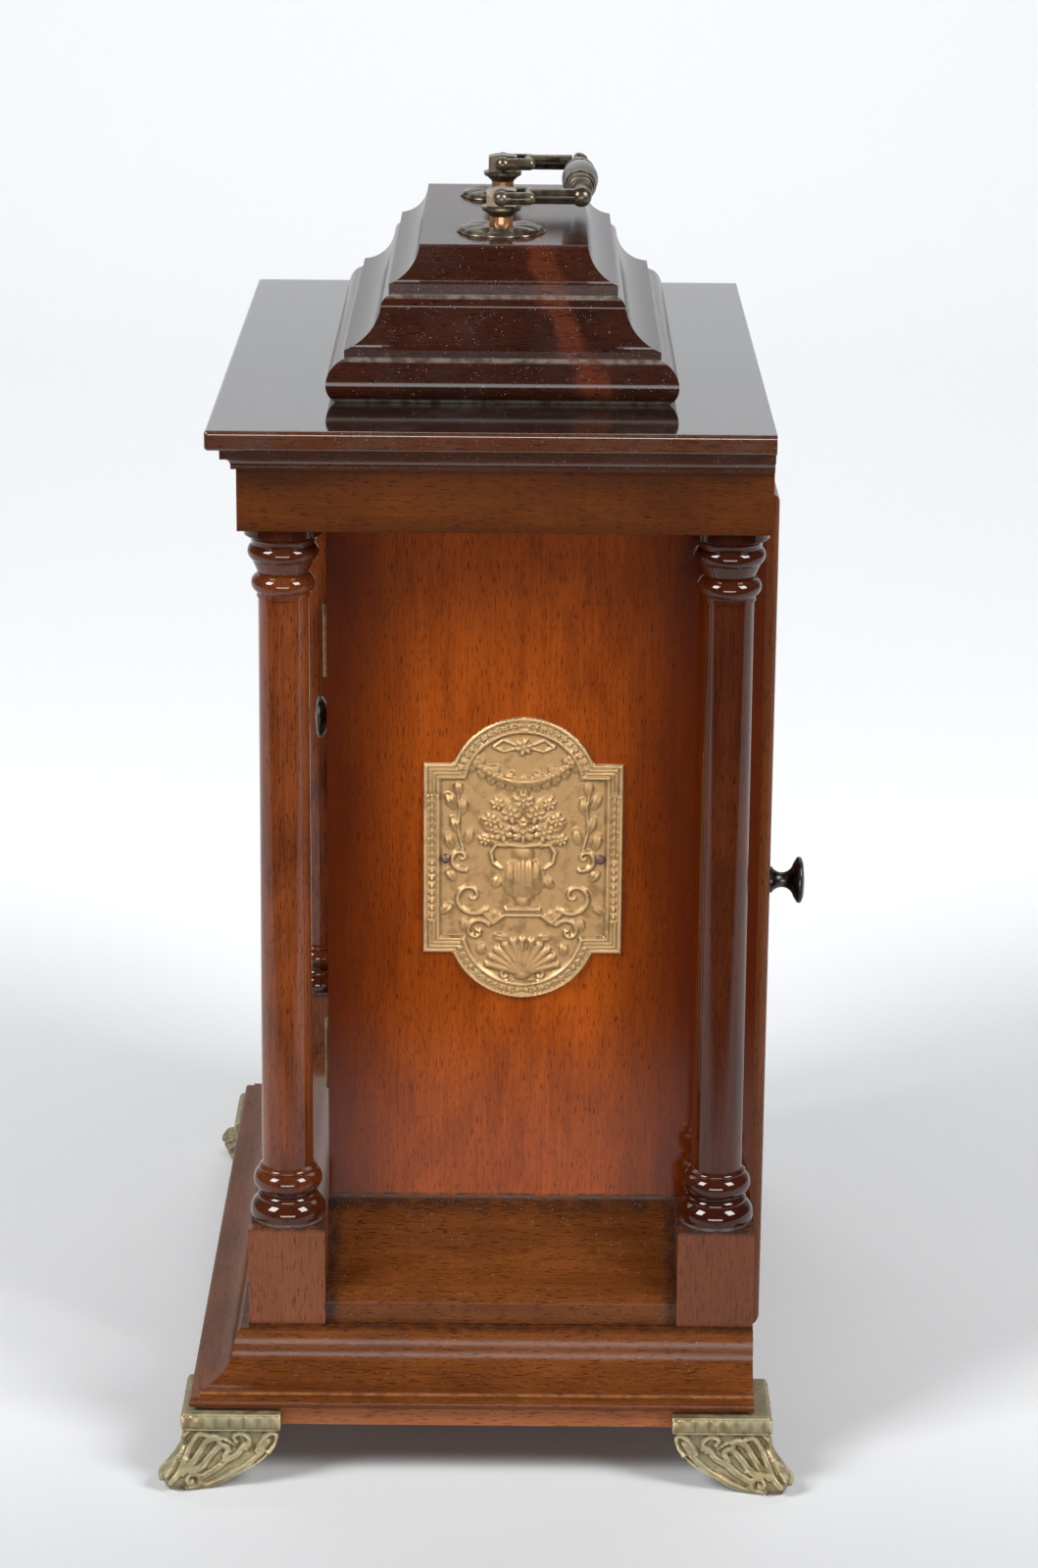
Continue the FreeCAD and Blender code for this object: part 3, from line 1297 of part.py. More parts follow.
def make_winding():
    plate = value("plate_thick")
    radius = value("winding_radius")
    staff = cylinder(radius, 0.3, value("plate_gap") - 0.3)
    front = cylinder(radius - 0.3, -plate - 6.0, 0.5)
    rear = cylinder(radius - 0.5, value("plate_gap") - 1, value("plate_gap") + plate)
    square_end = -plate - value("motion_space") - value("dial_thick") - 1.0
    side = (radius - 0.4) * 1.35
    square = Part.makeBox(side, side, -plate - 5.0 - square_end,
                          FreeCAD.Vector(-side / 2, -side / 2, square_end))
    ratchet = saw_wheel(RATCHET_TEETH, 6.2, 7.8, 0.08, 1.6, -plate - 2.4)
    set_shape("winding_arbor", [staff, front, rear, square, ratchet], [], "0", "plates_inside",
              "barrel_z")
    body = new_body("ratchet_click")
    add_pad(body, body_sketch(body, "XZ_Plane", [
        ("0 - 2.6", "0 - 2.6", 0.4),
        ("2.6", "0 - 2.6", 0.4),
        ("2.2", "2.4"),
        ("0 - 3.2", "3.0"),
        ("0 - 7.4", "0.9"),
        ("0 - 7.1", "0 - 0.4")]), "1.6")
    add_pocket(body, body_sketch(body, "XZ_Plane", ["circle", "0", "0", "1.05"]))
    keep("ratchet_click", place(body, "click_side", "front_plate_face - 0.8", "barrel_z"))


def make_motion_work():
    space = value("motion_space")
    through = space + value("dial_thick")
    gap = value("running_gap")
    to_minute = bearing("0", "dial_centre", "motion_distance", "dial_centre")
    pinion = gear(CANNON_TEETH, MOTION_MODULE, 2.6, -4.4, to_minute + half_gap(CANNON_TEETH))
    pipe = cylinder(value("cannon_pipe"), -through - 6.9, -0.7)
    lift = Part.makeBox(5.6, 1.8, 1.0, FreeCAD.Vector(-1.0, -0.9, -1.7))
    set_shape("cannon_pinion", [pinion, pipe, lift], [cylinder(value("cannon_bore"), -through - 8, 1)], "0",
              "front_plate_face", "dial_centre")
    back = bearing("motion_distance", "dial_centre", "0", "dial_centre")
    wheel = gear(MINUTE_TEETH, MOTION_MODULE, 1.4, -3.8, back)
    wheel = crossed_out(wheel, 11.6, 5.2, 4, 1.4, -3.8)
    pinion = gear(MINUTE_LEAVES, HOUR_MODULE, 3.6, -8.2, back + half_gap(MINUTE_LEAVES))
    collar = cylinder(2.6, -4.7, -3.7)
    set_shape("minute_wheel", [wheel, pinion, collar], [cylinder(1.5 + gap, -9, 0)],
              "motion_distance", "front_plate_face", "dial_centre")
    wheel = gear(HOUR_TEETH, HOUR_MODULE, 1.4, -7.4, to_minute)
    wheel = crossed_out(wheel, 12.4, 6.0, 4, 1.4, -7.4)
    pipe = cylinder(value("hour_pipe"), -through - 4.1, -6.0)
    set_shape("hour_wheel", [wheel, pipe], [cylinder(value("hour_bore"), -through - 5, 0)],
              "0", "front_plate_face", "dial_centre")


# ---------------------------------------------------------------- plates and their fittings

def make_plates():
    pillar_x = "(plate_width / 2 - pillar_inset)"
    pivot = "pivot_radius + running_gap"
    low = "0 - plate_below"
    outline = rectangle("0 - plate_width / 2", low, "plate_width / 2", "plate_above")
    train = [
        ["circle", "intermediate_x", "intermediate_z - dial_centre", pivot],
        ["circle", "third_side", "third_z - dial_centre", pivot],
        ["circle", "0", "escape_z - dial_centre", pivot],
        ["circle", "hammer_x", "hammer_z - dial_centre", pivot]]
    front = new_body("front_plate")
    add_pad(front, body_sketch(front, "XZ_Plane", outline), "plate_thick")
    studs = body_sketch(front, "XZ_Plane", ["circle", "motion_distance", "0", "1.5"])
    raise_sketch(studs, "plate_thick / 2")
    add_pad(front, studs, "plate_thick / 2 + 9.4")
    stud = body_sketch(front, "XZ_Plane", ["circle", "click_side", "0 - barrel_drop", "1.0"])
    raise_sketch(stud, "plate_thick / 2")
    add_pad(front, stud, "plate_thick / 2 + 3.2")
    add_pocket(front, body_sketch(
        front, "XZ_Plane",
        ["circle", "0", "0", "centre_arbor_radius + running_gap"],
        ["circle", "0", "0 - barrel_drop", "winding_radius - 0.3 + running_gap"],
        ["circle", "0", "anchor_z - dial_centre", pivot], *train))
    keep("front_plate", place(front, "0", "plates_inside", "dial_centre"))
    back = new_body("back_plate")
    add_pad(back, body_sketch(back, "XZ_Plane", outline), "plate_thick")
    add_pocket(back, body_sketch(
        back, "XZ_Plane",
        ["circle", "0", "0", pivot],
        ["circle", "0", "0 - barrel_drop", "winding_radius - 0.5 + running_gap"],
        ["circle", "0", "anchor_z - dial_centre", "4"], *train))
    keep("back_plate", place(back, "0", "back_plate_face", "dial_centre"))
    pillars = []
    for x_sign in ("0 - ", "0 + "):
        for z in ("plate_below * (0 - 1) + pillar_inset", "plate_above - pillar_inset"):
            pillar = turned(
                "plate_pillar",
                ("0", "0"),
                ("pillar_radius", "0"),
                ("pillar_radius", "3"),
                ("pillar_radius * 0.75", "4.2", -0.1),
                ("pillar_radius", "plate_gap / 2 - 2"),
                ("pillar_radius * 1.2", "plate_gap / 2", 0),
                ("pillar_radius", "plate_gap / 2 + 2", -0.1),
                ("pillar_radius * 0.75", "plate_gap - 4.2"),
                ("pillar_radius", "plate_gap - 3"),
                ("pillar_radius", "plate_gap"),
                ("0", "plate_gap"))
            pillars.append(place(pillar, x_sign + pillar_x, "plates_inside",
                                 "dial_centre + (%s)" % z, LAID_BACK))
    group("plate_pillars", pillars)
    keep("seat_board", block(
        "seat_board",
        ("0 - panel_inside", "front_plate_face - 4", "plate_bottom - seat_thick"),
        ("panel_inside", "back_plate_face + 4", "plate_bottom")))


def make_escapement():
    gap = value("plate_gap")
    plate = value("plate_thick")
    # the anchor straddles the escape wheel, and its crutch hangs behind the back plate
    reach = value("escape_radius")
    staff = cylinder(value("arbor_radius"), 0.3, gap + plate + 5.0)
    pivots = cylinder(value("pivot_radius"), -plate, gap + plate + 12.0)
    hub = cylinder(3.0, ESCAPE_LEVEL - 1.5, ESCAPE_LEVEL + 3.0)
    arms = []
    level = ESCAPE_LEVEL - 0.5
    for side in (-1, 1):
        tip = FreeCAD.Vector(side * (reach * 0.7071 + 1.6), reach * 0.7071 - 1.6, level)
        along = math.atan2(tip.y, tip.x)
        normal = FreeCAD.Vector(-math.sin(along), math.cos(along), 0) * 1.4
        outline = [FreeCAD.Vector(0, 0, level) + normal, FreeCAD.Vector(0, 0, level) - normal,
                   tip - normal * 0.6, tip + normal * 0.6]
        arms.append(Part.Face(Part.makePolygon(outline + outline[:1])).extrude(
            FreeCAD.Vector(0, 0, 2.5)))
    hang = value("crutch_length")
    crutch = Part.makeBox(2.2, hang, 1.2, FreeCAD.Vector(-1.1, 0, gap + plate + 3.0))
    fork = Part.makeBox(6.4, 2.4, 8.5, FreeCAD.Vector(-3.2, hang - 2.0, gap + plate + 3.0))
    slot = Part.makeBox(2.2, 4.0, 6.0, FreeCAD.Vector(-1.1, hang - 3.0, gap + plate + 5.0))
    set_shape("anchor", [staff, pivots, hub, crutch, fork] + arms, [slot], "0", "plates_inside",
              "anchor_z")
    # the cock carries the anchor's rear pivot and the pendulum's suspension
    cock = new_body("pendulum_cock")
    rear = "14"
    add_pad(cock, body_sketch(cock, "YZ_Plane", [
        ("0", "0 - 6"), ("2.4", "0 - 6"), ("2.4", "5"), ("9.6", "5"), ("9.6", "0 - 3.4"),
        ("12", "0 - 3.4"), ("12", "5"), (rear, "5"), (rear, "7.4"), ("0", "7.4")]), "16",
        both_ways=True)
    add_pocket(cock, body_sketch(cock, "XZ_Plane",
                                 ["circle", "0", "0", "pivot_radius + running_gap"]))
    add_pocket(cock, body_sketch(cock, "XZ_Plane", ["circle", "0", "0", "4"]), "2.6")
    keep("pendulum_cock", place(cock, "0", "back_plate_face", "anchor_z"))
    # the pendulum: rod, bob and rating nut
    length = value("pendulum_length")
    bob = value("bob_radius")
    rod_radius = 1.0
    drop = value("rating_nut_drop")
    whole = length + bob + drop
    stem = Part.makeCylinder(rod_radius, whole, FreeCAD.Vector(0, 0, -whole))
    lens = Part.makeCylinder(bob, 4.0, FreeCAD.Vector(0, -2.0, -length), Y_AXIS)
    lens = lens.fuse([
        Part.makeCone(bob, bob * 0.45, 2.2, FreeCAD.Vector(0, 2.0, -length), Y_AXIS),
        Part.makeCone(bob, bob * 0.45, 2.2, FreeCAD.Vector(0, -2.0, -length),
                      FreeCAD.Vector(0, -1, 0))])
    nut = Part.makeCylinder(3.2, 2.0, FreeCAD.Vector(0, 0, 0.6 - whole))
    eye = Part.makeCylinder(2.4, 1.6, FreeCAD.Vector(0, -0.8, 0), Y_AXIS)
    eye_bore = Part.makeCylinder(value("pivot_radius") + 0.05, 8, FreeCAD.Vector(0, -4, 0), Y_AXIS)
    set_shape("pendulum", [stem, lens, nut, eye], [eye_bore], "0", "back_plate_face + 7.4",
              "anchor_z", UPRIGHT)


def make_strike():
    """One blow an hour: the cannon's cam lifts the hammer's tail and lets it fall."""
    gap = value("plate_gap")
    plate = value("plate_thick")
    staff = cylinder(value("arbor_radius"), 0.3, gap - 0.3)
    pivots = cylinder(value("pivot_radius"), -plate - 2.2, gap + plate)
    tail_level = -plate - 2.0
    arm = Part.makeBox(1.6, 31.0, 1.6, FreeCAD.Vector(-0.8, -31.0, 18.0))
    head = Part.makeCylinder(3.4, 9.0, FreeCAD.Vector(-4.5, -33.0, 18.8), X_AXIS)
    reach = math.hypot(value("hammer_side"), value("hammer_rise")) - 6.5
    tail = Part.makeBox(2.0, reach, 1.0, FreeCAD.Vector(-1.0, 0, tail_level))
    tail.rotate(FreeCAD.Vector(0, 0, 0), Z_AXIS, -math.degrees(
        math.atan2(value("hammer_side"), value("hammer_rise"))))
    hub = cylinder(2.4, tail_level, tail_level + 1.2)
    set_shape("hammer", [staff, pivots, arm, head, tail, hub], [], "hammer_x", "plates_inside",
              "hammer_z")
    bell = turned(
        "bell",
        ("1.9", "bell_height - 1.6"),
        ("1.9", "bell_height"),
        ("6.0", "bell_height", -0.4),
        ("bell_radius * 0.92", "4"),
        ("bell_radius", "0"),
        ("bell_radius - 1.6", "0"),
        ("bell_radius * 0.92 - 1.6", "4", 0.4),
        ("6.0", "bell_height - 1.6"))
    keep("bell", place(bell, "bell_x", "plates_inside + 18.8", "bell_z"))
    stand = new_body("bell_stand")
    foot = "0 - bell_above_plates"
    add_turning(stand, body_sketch(stand, "XZ_Plane", [
        ("0", foot),
        ("3.4", foot),
        ("3.4", foot + " + 5", -0.2),
        ("2.6", foot + " + 8"),
        ("2.6", "bell_height - 1.6"),
        ("1.9", "bell_height - 1.6"),
        ("1.9", "bell_height"),
        ("4.5", "bell_height"),
        ("4.5", "bell_height + 2.6", 0.3),
        ("2.5", "bell_height + 3.6"),
        ("0", "bell_height + 3.6")]))
    bridge = body_sketch(stand, "XY_Plane", rectangle(
        "0 - 4", "0 - plate_thick - 18.8", "4", "plate_gap + plate_thick - 18.8"))
    raise_sketch(bridge, foot)
    add_pad(stand, bridge, "3")
    keep("bell_stand", place(stand, "bell_x", "plates_inside + 18.8", "bell_z"))


make_base()
make_feet()
make_plinths()
make_columns()
make_shelf_moulding()
make_case()
make_frieze()
make_cornice()
make_caddy()
make_handle()
make_plaques()
make_front_door()
make_rear_door()
make_hinges()
make_dial()
make_hands()
make_train()
make_winding()
make_motion_work()
make_plates()
make_escapement()
make_strike()
doc.recompute()

# ---------------------------------------------------------------- checks and files

for item in doc.Objects:
    if "Invalid" in item.State or "Error" in item.State:
        raise ValueError("%s failed: %s" % (item.Label, item.State))
for label, node in nodes.items():
    if node.Shape.isNull() or not node.Shape.isValid() or not node.Shape.Solids:
        raise ValueError("%s has no valid solid" % label)
os.makedirs("parts", exist_ok=True)
for label, node in nodes.items():
    node.Shape.exportStep("parts/%s.step" % label)
print("%d sub-parts, %d solids" % (len(nodes), sum(len(n.Shape.Solids) for n in nodes.values())))
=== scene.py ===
import math

import bpy
import numpy as np
from mathutils import Matrix, Vector


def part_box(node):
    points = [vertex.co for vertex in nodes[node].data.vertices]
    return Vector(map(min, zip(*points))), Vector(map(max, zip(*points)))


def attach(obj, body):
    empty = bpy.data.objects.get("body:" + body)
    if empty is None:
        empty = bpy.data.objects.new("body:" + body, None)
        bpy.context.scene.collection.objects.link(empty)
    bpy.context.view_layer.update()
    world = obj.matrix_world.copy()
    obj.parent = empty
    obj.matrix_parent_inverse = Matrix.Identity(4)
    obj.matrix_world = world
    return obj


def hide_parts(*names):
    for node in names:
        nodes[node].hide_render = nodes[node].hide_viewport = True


# A bracket clock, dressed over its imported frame: stained and varnished woods, patinated castings,
# relief plaques, carved feet, a numbered dial, and the studio that it stands in.

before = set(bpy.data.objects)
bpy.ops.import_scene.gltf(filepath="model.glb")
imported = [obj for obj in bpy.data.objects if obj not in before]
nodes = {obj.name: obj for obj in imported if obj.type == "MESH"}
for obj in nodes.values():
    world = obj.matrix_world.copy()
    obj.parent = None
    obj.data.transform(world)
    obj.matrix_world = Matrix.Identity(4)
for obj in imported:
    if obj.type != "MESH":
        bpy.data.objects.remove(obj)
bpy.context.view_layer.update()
MM = 0.001


# ---------------------------------------------------------------- shader graphs

class Paint:
    """A material's node tree, built a step at a time."""

    def __init__(self, name):
        self.material = bpy.data.materials.new(name)
        self.material.use_nodes = True
        self.tree = self.material.node_tree
        self.shader = self.tree.nodes["Principled BSDF"]
        self.place = self.tree.nodes.new("ShaderNodeTexCoord").outputs["Object"]

    def node(self, kind, inputs=None, **settings):
        node = self.tree.nodes.new(kind)
        for key, setting in settings.items():
            setattr(node, key, setting)
        for key, source in (inputs or {}).items():
            self.feed(node.inputs[key], source)
        return node

    def feed(self, socket, source):
        if isinstance(source, bpy.types.NodeSocket):
            self.tree.links.new(source, socket)
        else:
            socket.default_value = source

    def set(self, **values):
        """Sets shader sockets. A name's underscores stand for spaces."""
        for key, source in values.items():
            self.feed(self.shader.inputs[key.replace("_", " ")], source)

    def stretched(self, scale, source=None):
        mapping = self.node("ShaderNodeMapping", {"Vector": source or self.place, "Scale": scale})
        return mapping.outputs[0]

    def noise(self, vector, detail=3.0, rough=0.55, twist=0.0):
        node = self.node("ShaderNodeTexNoise", {
            "Vector": vector, "Scale": 1.0, "Detail": detail, "Roughness": rough,
            "Distortion": twist})
        return node.outputs["Fac"]

    def math(self, operation, first, second=0.0, third=0.0, clamp=False):
        node = self.node("ShaderNodeMath", {0: first, 1: second, 2: third}, operation=operation,
                         use_clamp=clamp)
        return node.outputs[0]

    def span(self, source, low, high, out_low=0.0, out_high=1.0):
        """Runs smoothly from out_low to out_high while the source runs from low to high."""
        node = self.node("ShaderNodeMapRange", {
            "Value": source, "From Min": low, "From Max": high, "To Min": out_low,
            "To Max": out_high}, interpolation_type="SMOOTHSTEP")
        return node.outputs[0]

    def blend(self, share, first, second):
        node = self.node("ShaderNodeMix", data_type="RGBA")
        self.feed(node.inputs[0], share)
        self.feed(node.inputs[6], first)
        self.feed(node.inputs[7], second)
        return node.outputs[2]

    def axes(self):
        return self.node("ShaderNodeSeparateXYZ", {0: self.place}).outputs

    def vector(self, x, y, z):
        return self.node("ShaderNodeCombineXYZ", {0: x, 1: y, 2: z}).outputs[0]

    def bump(self, height, strength, distance, under=None):
        inputs = {"Height": height, "Strength": strength, "Distance": distance}
        if under is not None:
            inputs["Normal"] = under
        return self.node("ShaderNodeBump", inputs).outputs[0]


def rgba(colour):
    return tuple(colour) + (1.0,)


def wood(name, pale, deep, grain="z", mitre=None, figure=0.5, fibre=0.3, rough=0.34, coat=0.6,
         coat_rough=0.08, coat_ior=1.5, shades=(), lines=(), flame=None, seed=0.0, specks=0.0,
         haze=0.0, wave=0.04, dark_above=None):
    """Stained, varnished wood. The grain runs along one axis, or turns at a mitre. A shade darkens
    away
    from a place along an axis: the stain's dark edges in some places, painted shade in others. A
    line
    is a thin band at a joint or crease: dirt or dust, painted shade, or a painted highlight. A flame
    is a slanting streak of red figure. Only the varnish shines."""
    p = Paint(name)
    x, y, z = p.axes()
    if grain == "z":
        along, across, other = z, x, y
    elif grain == "x":
        along, across, other = x, z, y
    else:
        along, across, other = y, z, x
    if mitre is not None:
        # front lengths run along X and side lengths along Y; the mitre plane divides them
        side, front = mitre
        beyond_side = p.math("SUBTRACT", p.math("ABSOLUTE", x), side)
        beyond_front = p.math("SUBTRACT", front, y)
        is_side = p.math("GREATER_THAN", beyond_side, beyond_front)
        is_front = p.math("SUBTRACT", 1.0, is_side)
        along = p.math("ADD", p.math("MULTIPLY", y, is_side), p.math("MULTIPLY", x, is_front))
        other = p.math("ADD", p.math("MULTIPLY", x, is_side), p.math("MULTIPLY", y, is_front))
        across = z
    grained = p.vector(p.math("ADD", across, seed), other, along)
    streaks = p.noise(p.stretched((1300.0, 1300.0, 55.0), grained), detail=2.0)
    bands = p.noise(p.stretched((105.0, 105.0, 20.0), grained), detail=4.0, twist=0.8)
    cloud = p.noise(p.stretched((26.0, 26.0, 15.0), grained), detail=3.0, twist=0.6)
    pores = p.noise(p.stretched((2600.0, 2600.0, 260.0), grained), detail=1.0)
    tone = p.math("MULTIPLY_ADD", p.math("SUBTRACT", streaks, 0.5), fibre * 2.0, 0.5)
    tone = p.math("MULTIPLY_ADD", p.math("SUBTRACT", bands, 0.5), figure * 1.5, tone)
    tone = p.math("MULTIPLY_ADD", p.math("SUBTRACT", cloud, 0.5), figure * 2.4, tone, clamp=True)
    colour = p.blend(tone, rgba(deep), rgba(pale))
    if flame is not None:
        foot_y, foot_z, lean, half, depth = flame
        centre = p.math("MULTIPLY_ADD", p.math("SUBTRACT", z, foot_z), lean, foot_y)
        lick = p.noise(p.stretched((60.0, 60.0, 45.0)), detail=4.0, twist=1.2)
        away = p.math("ABSOLUTE", p.math("SUBTRACT", y, centre))
        wander = p.math("MULTIPLY_ADD", p.math("SUBTRACT", lick, 0.5), half * 2.5, away)
        colour = p.blend(p.span(wander, half * 0.3, half, depth, 0.0), colour,
                         rgba((0.085, 0.020, 0.008)))
    pore = p.span(pores, 0.58, 0.68, 0.0, 0.75)
    colour = p.blend(pore, colour, rgba((deep[0] * 0.5, deep[1] * 0.4, deep[2] * 0.4)))
    # Shades: darker away from a place, painted shade where they stand for shadow.
    for axis, centre, start, end, depth in shades:
        away = p.math("ABSOLUTE", p.math("SUBTRACT", (x, y, z)["xyz".index(axis)], centre))
        wander = p.math("MULTIPLY_ADD", p.math("SUBTRACT", cloud, 0.5), (end - start) * 0.9, away)
        colour = p.blend(p.span(wander, start, end, 0.0, depth), colour,
                         rgba((deep[0] * 0.42, deep[1] * 0.3, deep[2] * 0.3)))
    if dark_above is not None:
        height, tint = dark_above
        colour = p.blend(p.math("GREATER_THAN", z, height), colour, rgba(tint))
    # Lines: thin bands of dirt, dust, painted shade or a painted highlight, broken into patches.
    patch_noise = p.noise(p.stretched((260.0, 260.0, 260.0)), detail=3.0)
    for axis, where, width, tint, depth in lines:
        away = p.math("ABSOLUTE", p.math("SUBTRACT", (x, y, z)["xyz".index(axis)], where))
        near = p.span(away, width * 0.25, width, depth, 0.0)
        patchy = p.math("MULTIPLY", near, p.span(patch_noise, 0.35, 0.6, 0.35, 1.0))
        colour = p.blend(patchy, colour, rgba(tint))
    if specks:
        dots = p.noise(p.stretched((2300.0, 2300.0, 2300.0)), detail=0.0)
        sparse = p.math("MULTIPLY", p.span(dots, 0.76, 0.80, 0.0, specks),
                        p.span(patch_noise, 0.45, 0.6))
        colour = p.blend(sparse, colour, rgba((0.5, 0.45, 0.40)))
    if haze:
        film = p.noise(p.stretched((55.0, 55.0, 55.0)), detail=5.0, rough=0.7)
        colour = p.blend(p.span(film, 0.40, 0.75, 0.0, haze), colour, rgba((0.20, 0.17, 0.16)))
    worn = p.noise(p.stretched((120.0, 120.0, 120.0)), detail=4.0)
    p.set(Base_Color=colour, Roughness=p.span(worn, 0.3, 0.75, rough * 0.8, rough * 1.35))
    p.set(Specular_IOR_Level=0.0)
    p.set(Coat_Weight=coat, Coat_Roughness=coat_rough, Coat_IOR=coat_ior)
    ripple = p.noise(p.stretched((45.0, 45.0, 45.0)), detail=1.0)
    smooth = p.bump(ripple, wave, 0.0004)
    p.set(Normal=p.bump(streaks, wave * 2.0, 0.00012, smooth), Coat_Normal=smooth)
    return p.material


def metal(name, colour, dark, rough=0.35, patina=None, patina_share=0.0, grain_scale=300.0,
          bump=0.15, rub=None, rub_depth=0.6, hollow=None, copper_below=None):
    """A metal with cloudy tarnish, a patina in patches, bright rubbed edges and dark hollows."""
    p = Paint(name)
    fine = p.noise(p.stretched((grain_scale,) * 3), detail=4.0)
    broad = p.noise(p.stretched((grain_scale * 0.25,) * 3), detail=3.0)
    mixed = p.blend(p.span(fine, 0.35, 0.68), rgba(dark), rgba(colour))
    roughness = p.span(broad, 0.3, 0.7, rough * 0.75, rough * 1.4)
    p.set(Metallic=1.0)
    if patina is not None:
        share = p.span(p.math("MULTIPLY_ADD", fine, 0.35, broad), 0.52, 0.76,
                       patina_share * 0.55, patina_share)
        mixed = p.blend(share, mixed, rgba(patina))
        p.set(Metallic=p.math("MULTIPLY_ADD", share, -0.8, 1.0, clamp=True))
    if rub is not None:
        points = p.node("ShaderNodeNewGeometry").outputs["Pointiness"]
        mixed = p.blend(p.span(points, 0.51, 0.58, 0.0, rub_depth), mixed, rgba(rub))
        mixed = p.blend(p.span(points, 0.49, 0.43, 0.0, 0.8), mixed,
                        rgba(hollow or tuple(c * 0.4 for c in dark)))
    if copper_below is not None:
        height, tint = copper_below
        _, _, z = p.axes()
        mixed = p.blend(p.math("LESS_THAN", z, height), mixed, rgba(tint))
    p.set(Base_Color=mixed, Roughness=roughness)
    p.set(Normal=p.bump(fine, bump, 0.0002))
    return p.material


# Places, from the frame itself.
panel_low, panel_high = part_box("side_panel_right")
case_front = panel_low.y
case_back = panel_high.y
panel_face = panel_high.x
board_low, board_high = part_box("base_board")
base_top = board_high.z
plinth_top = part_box("plinth_blocks")[1].z
slab_low, slab_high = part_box("cornice_board")
panel_middle = (case_front + case_back) / 2
caddy_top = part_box("caddy_upper")[1].z
post_collar = caddy_top + 0.0050

DUST = (0.34, 0.30, 0.27)
# Near black for thin lines: dirt at joints, painted shade in creases and under overhangs.
GRIME_AND_SHADE = (0.012, 0.008, 0.006)

# Where mouldings turn at the mitre: a distance at the sides, and the front's place along Y.
front_mitre = (panel_face, case_front)
base_mitre = (0.1145, -0.0656)
caddy_mitre = (0.037, -0.005)

# Heights round which a piece keeps its full colour.
panel_heart = 0.17
frieze_heart = 0.330
column_heart = 0.195

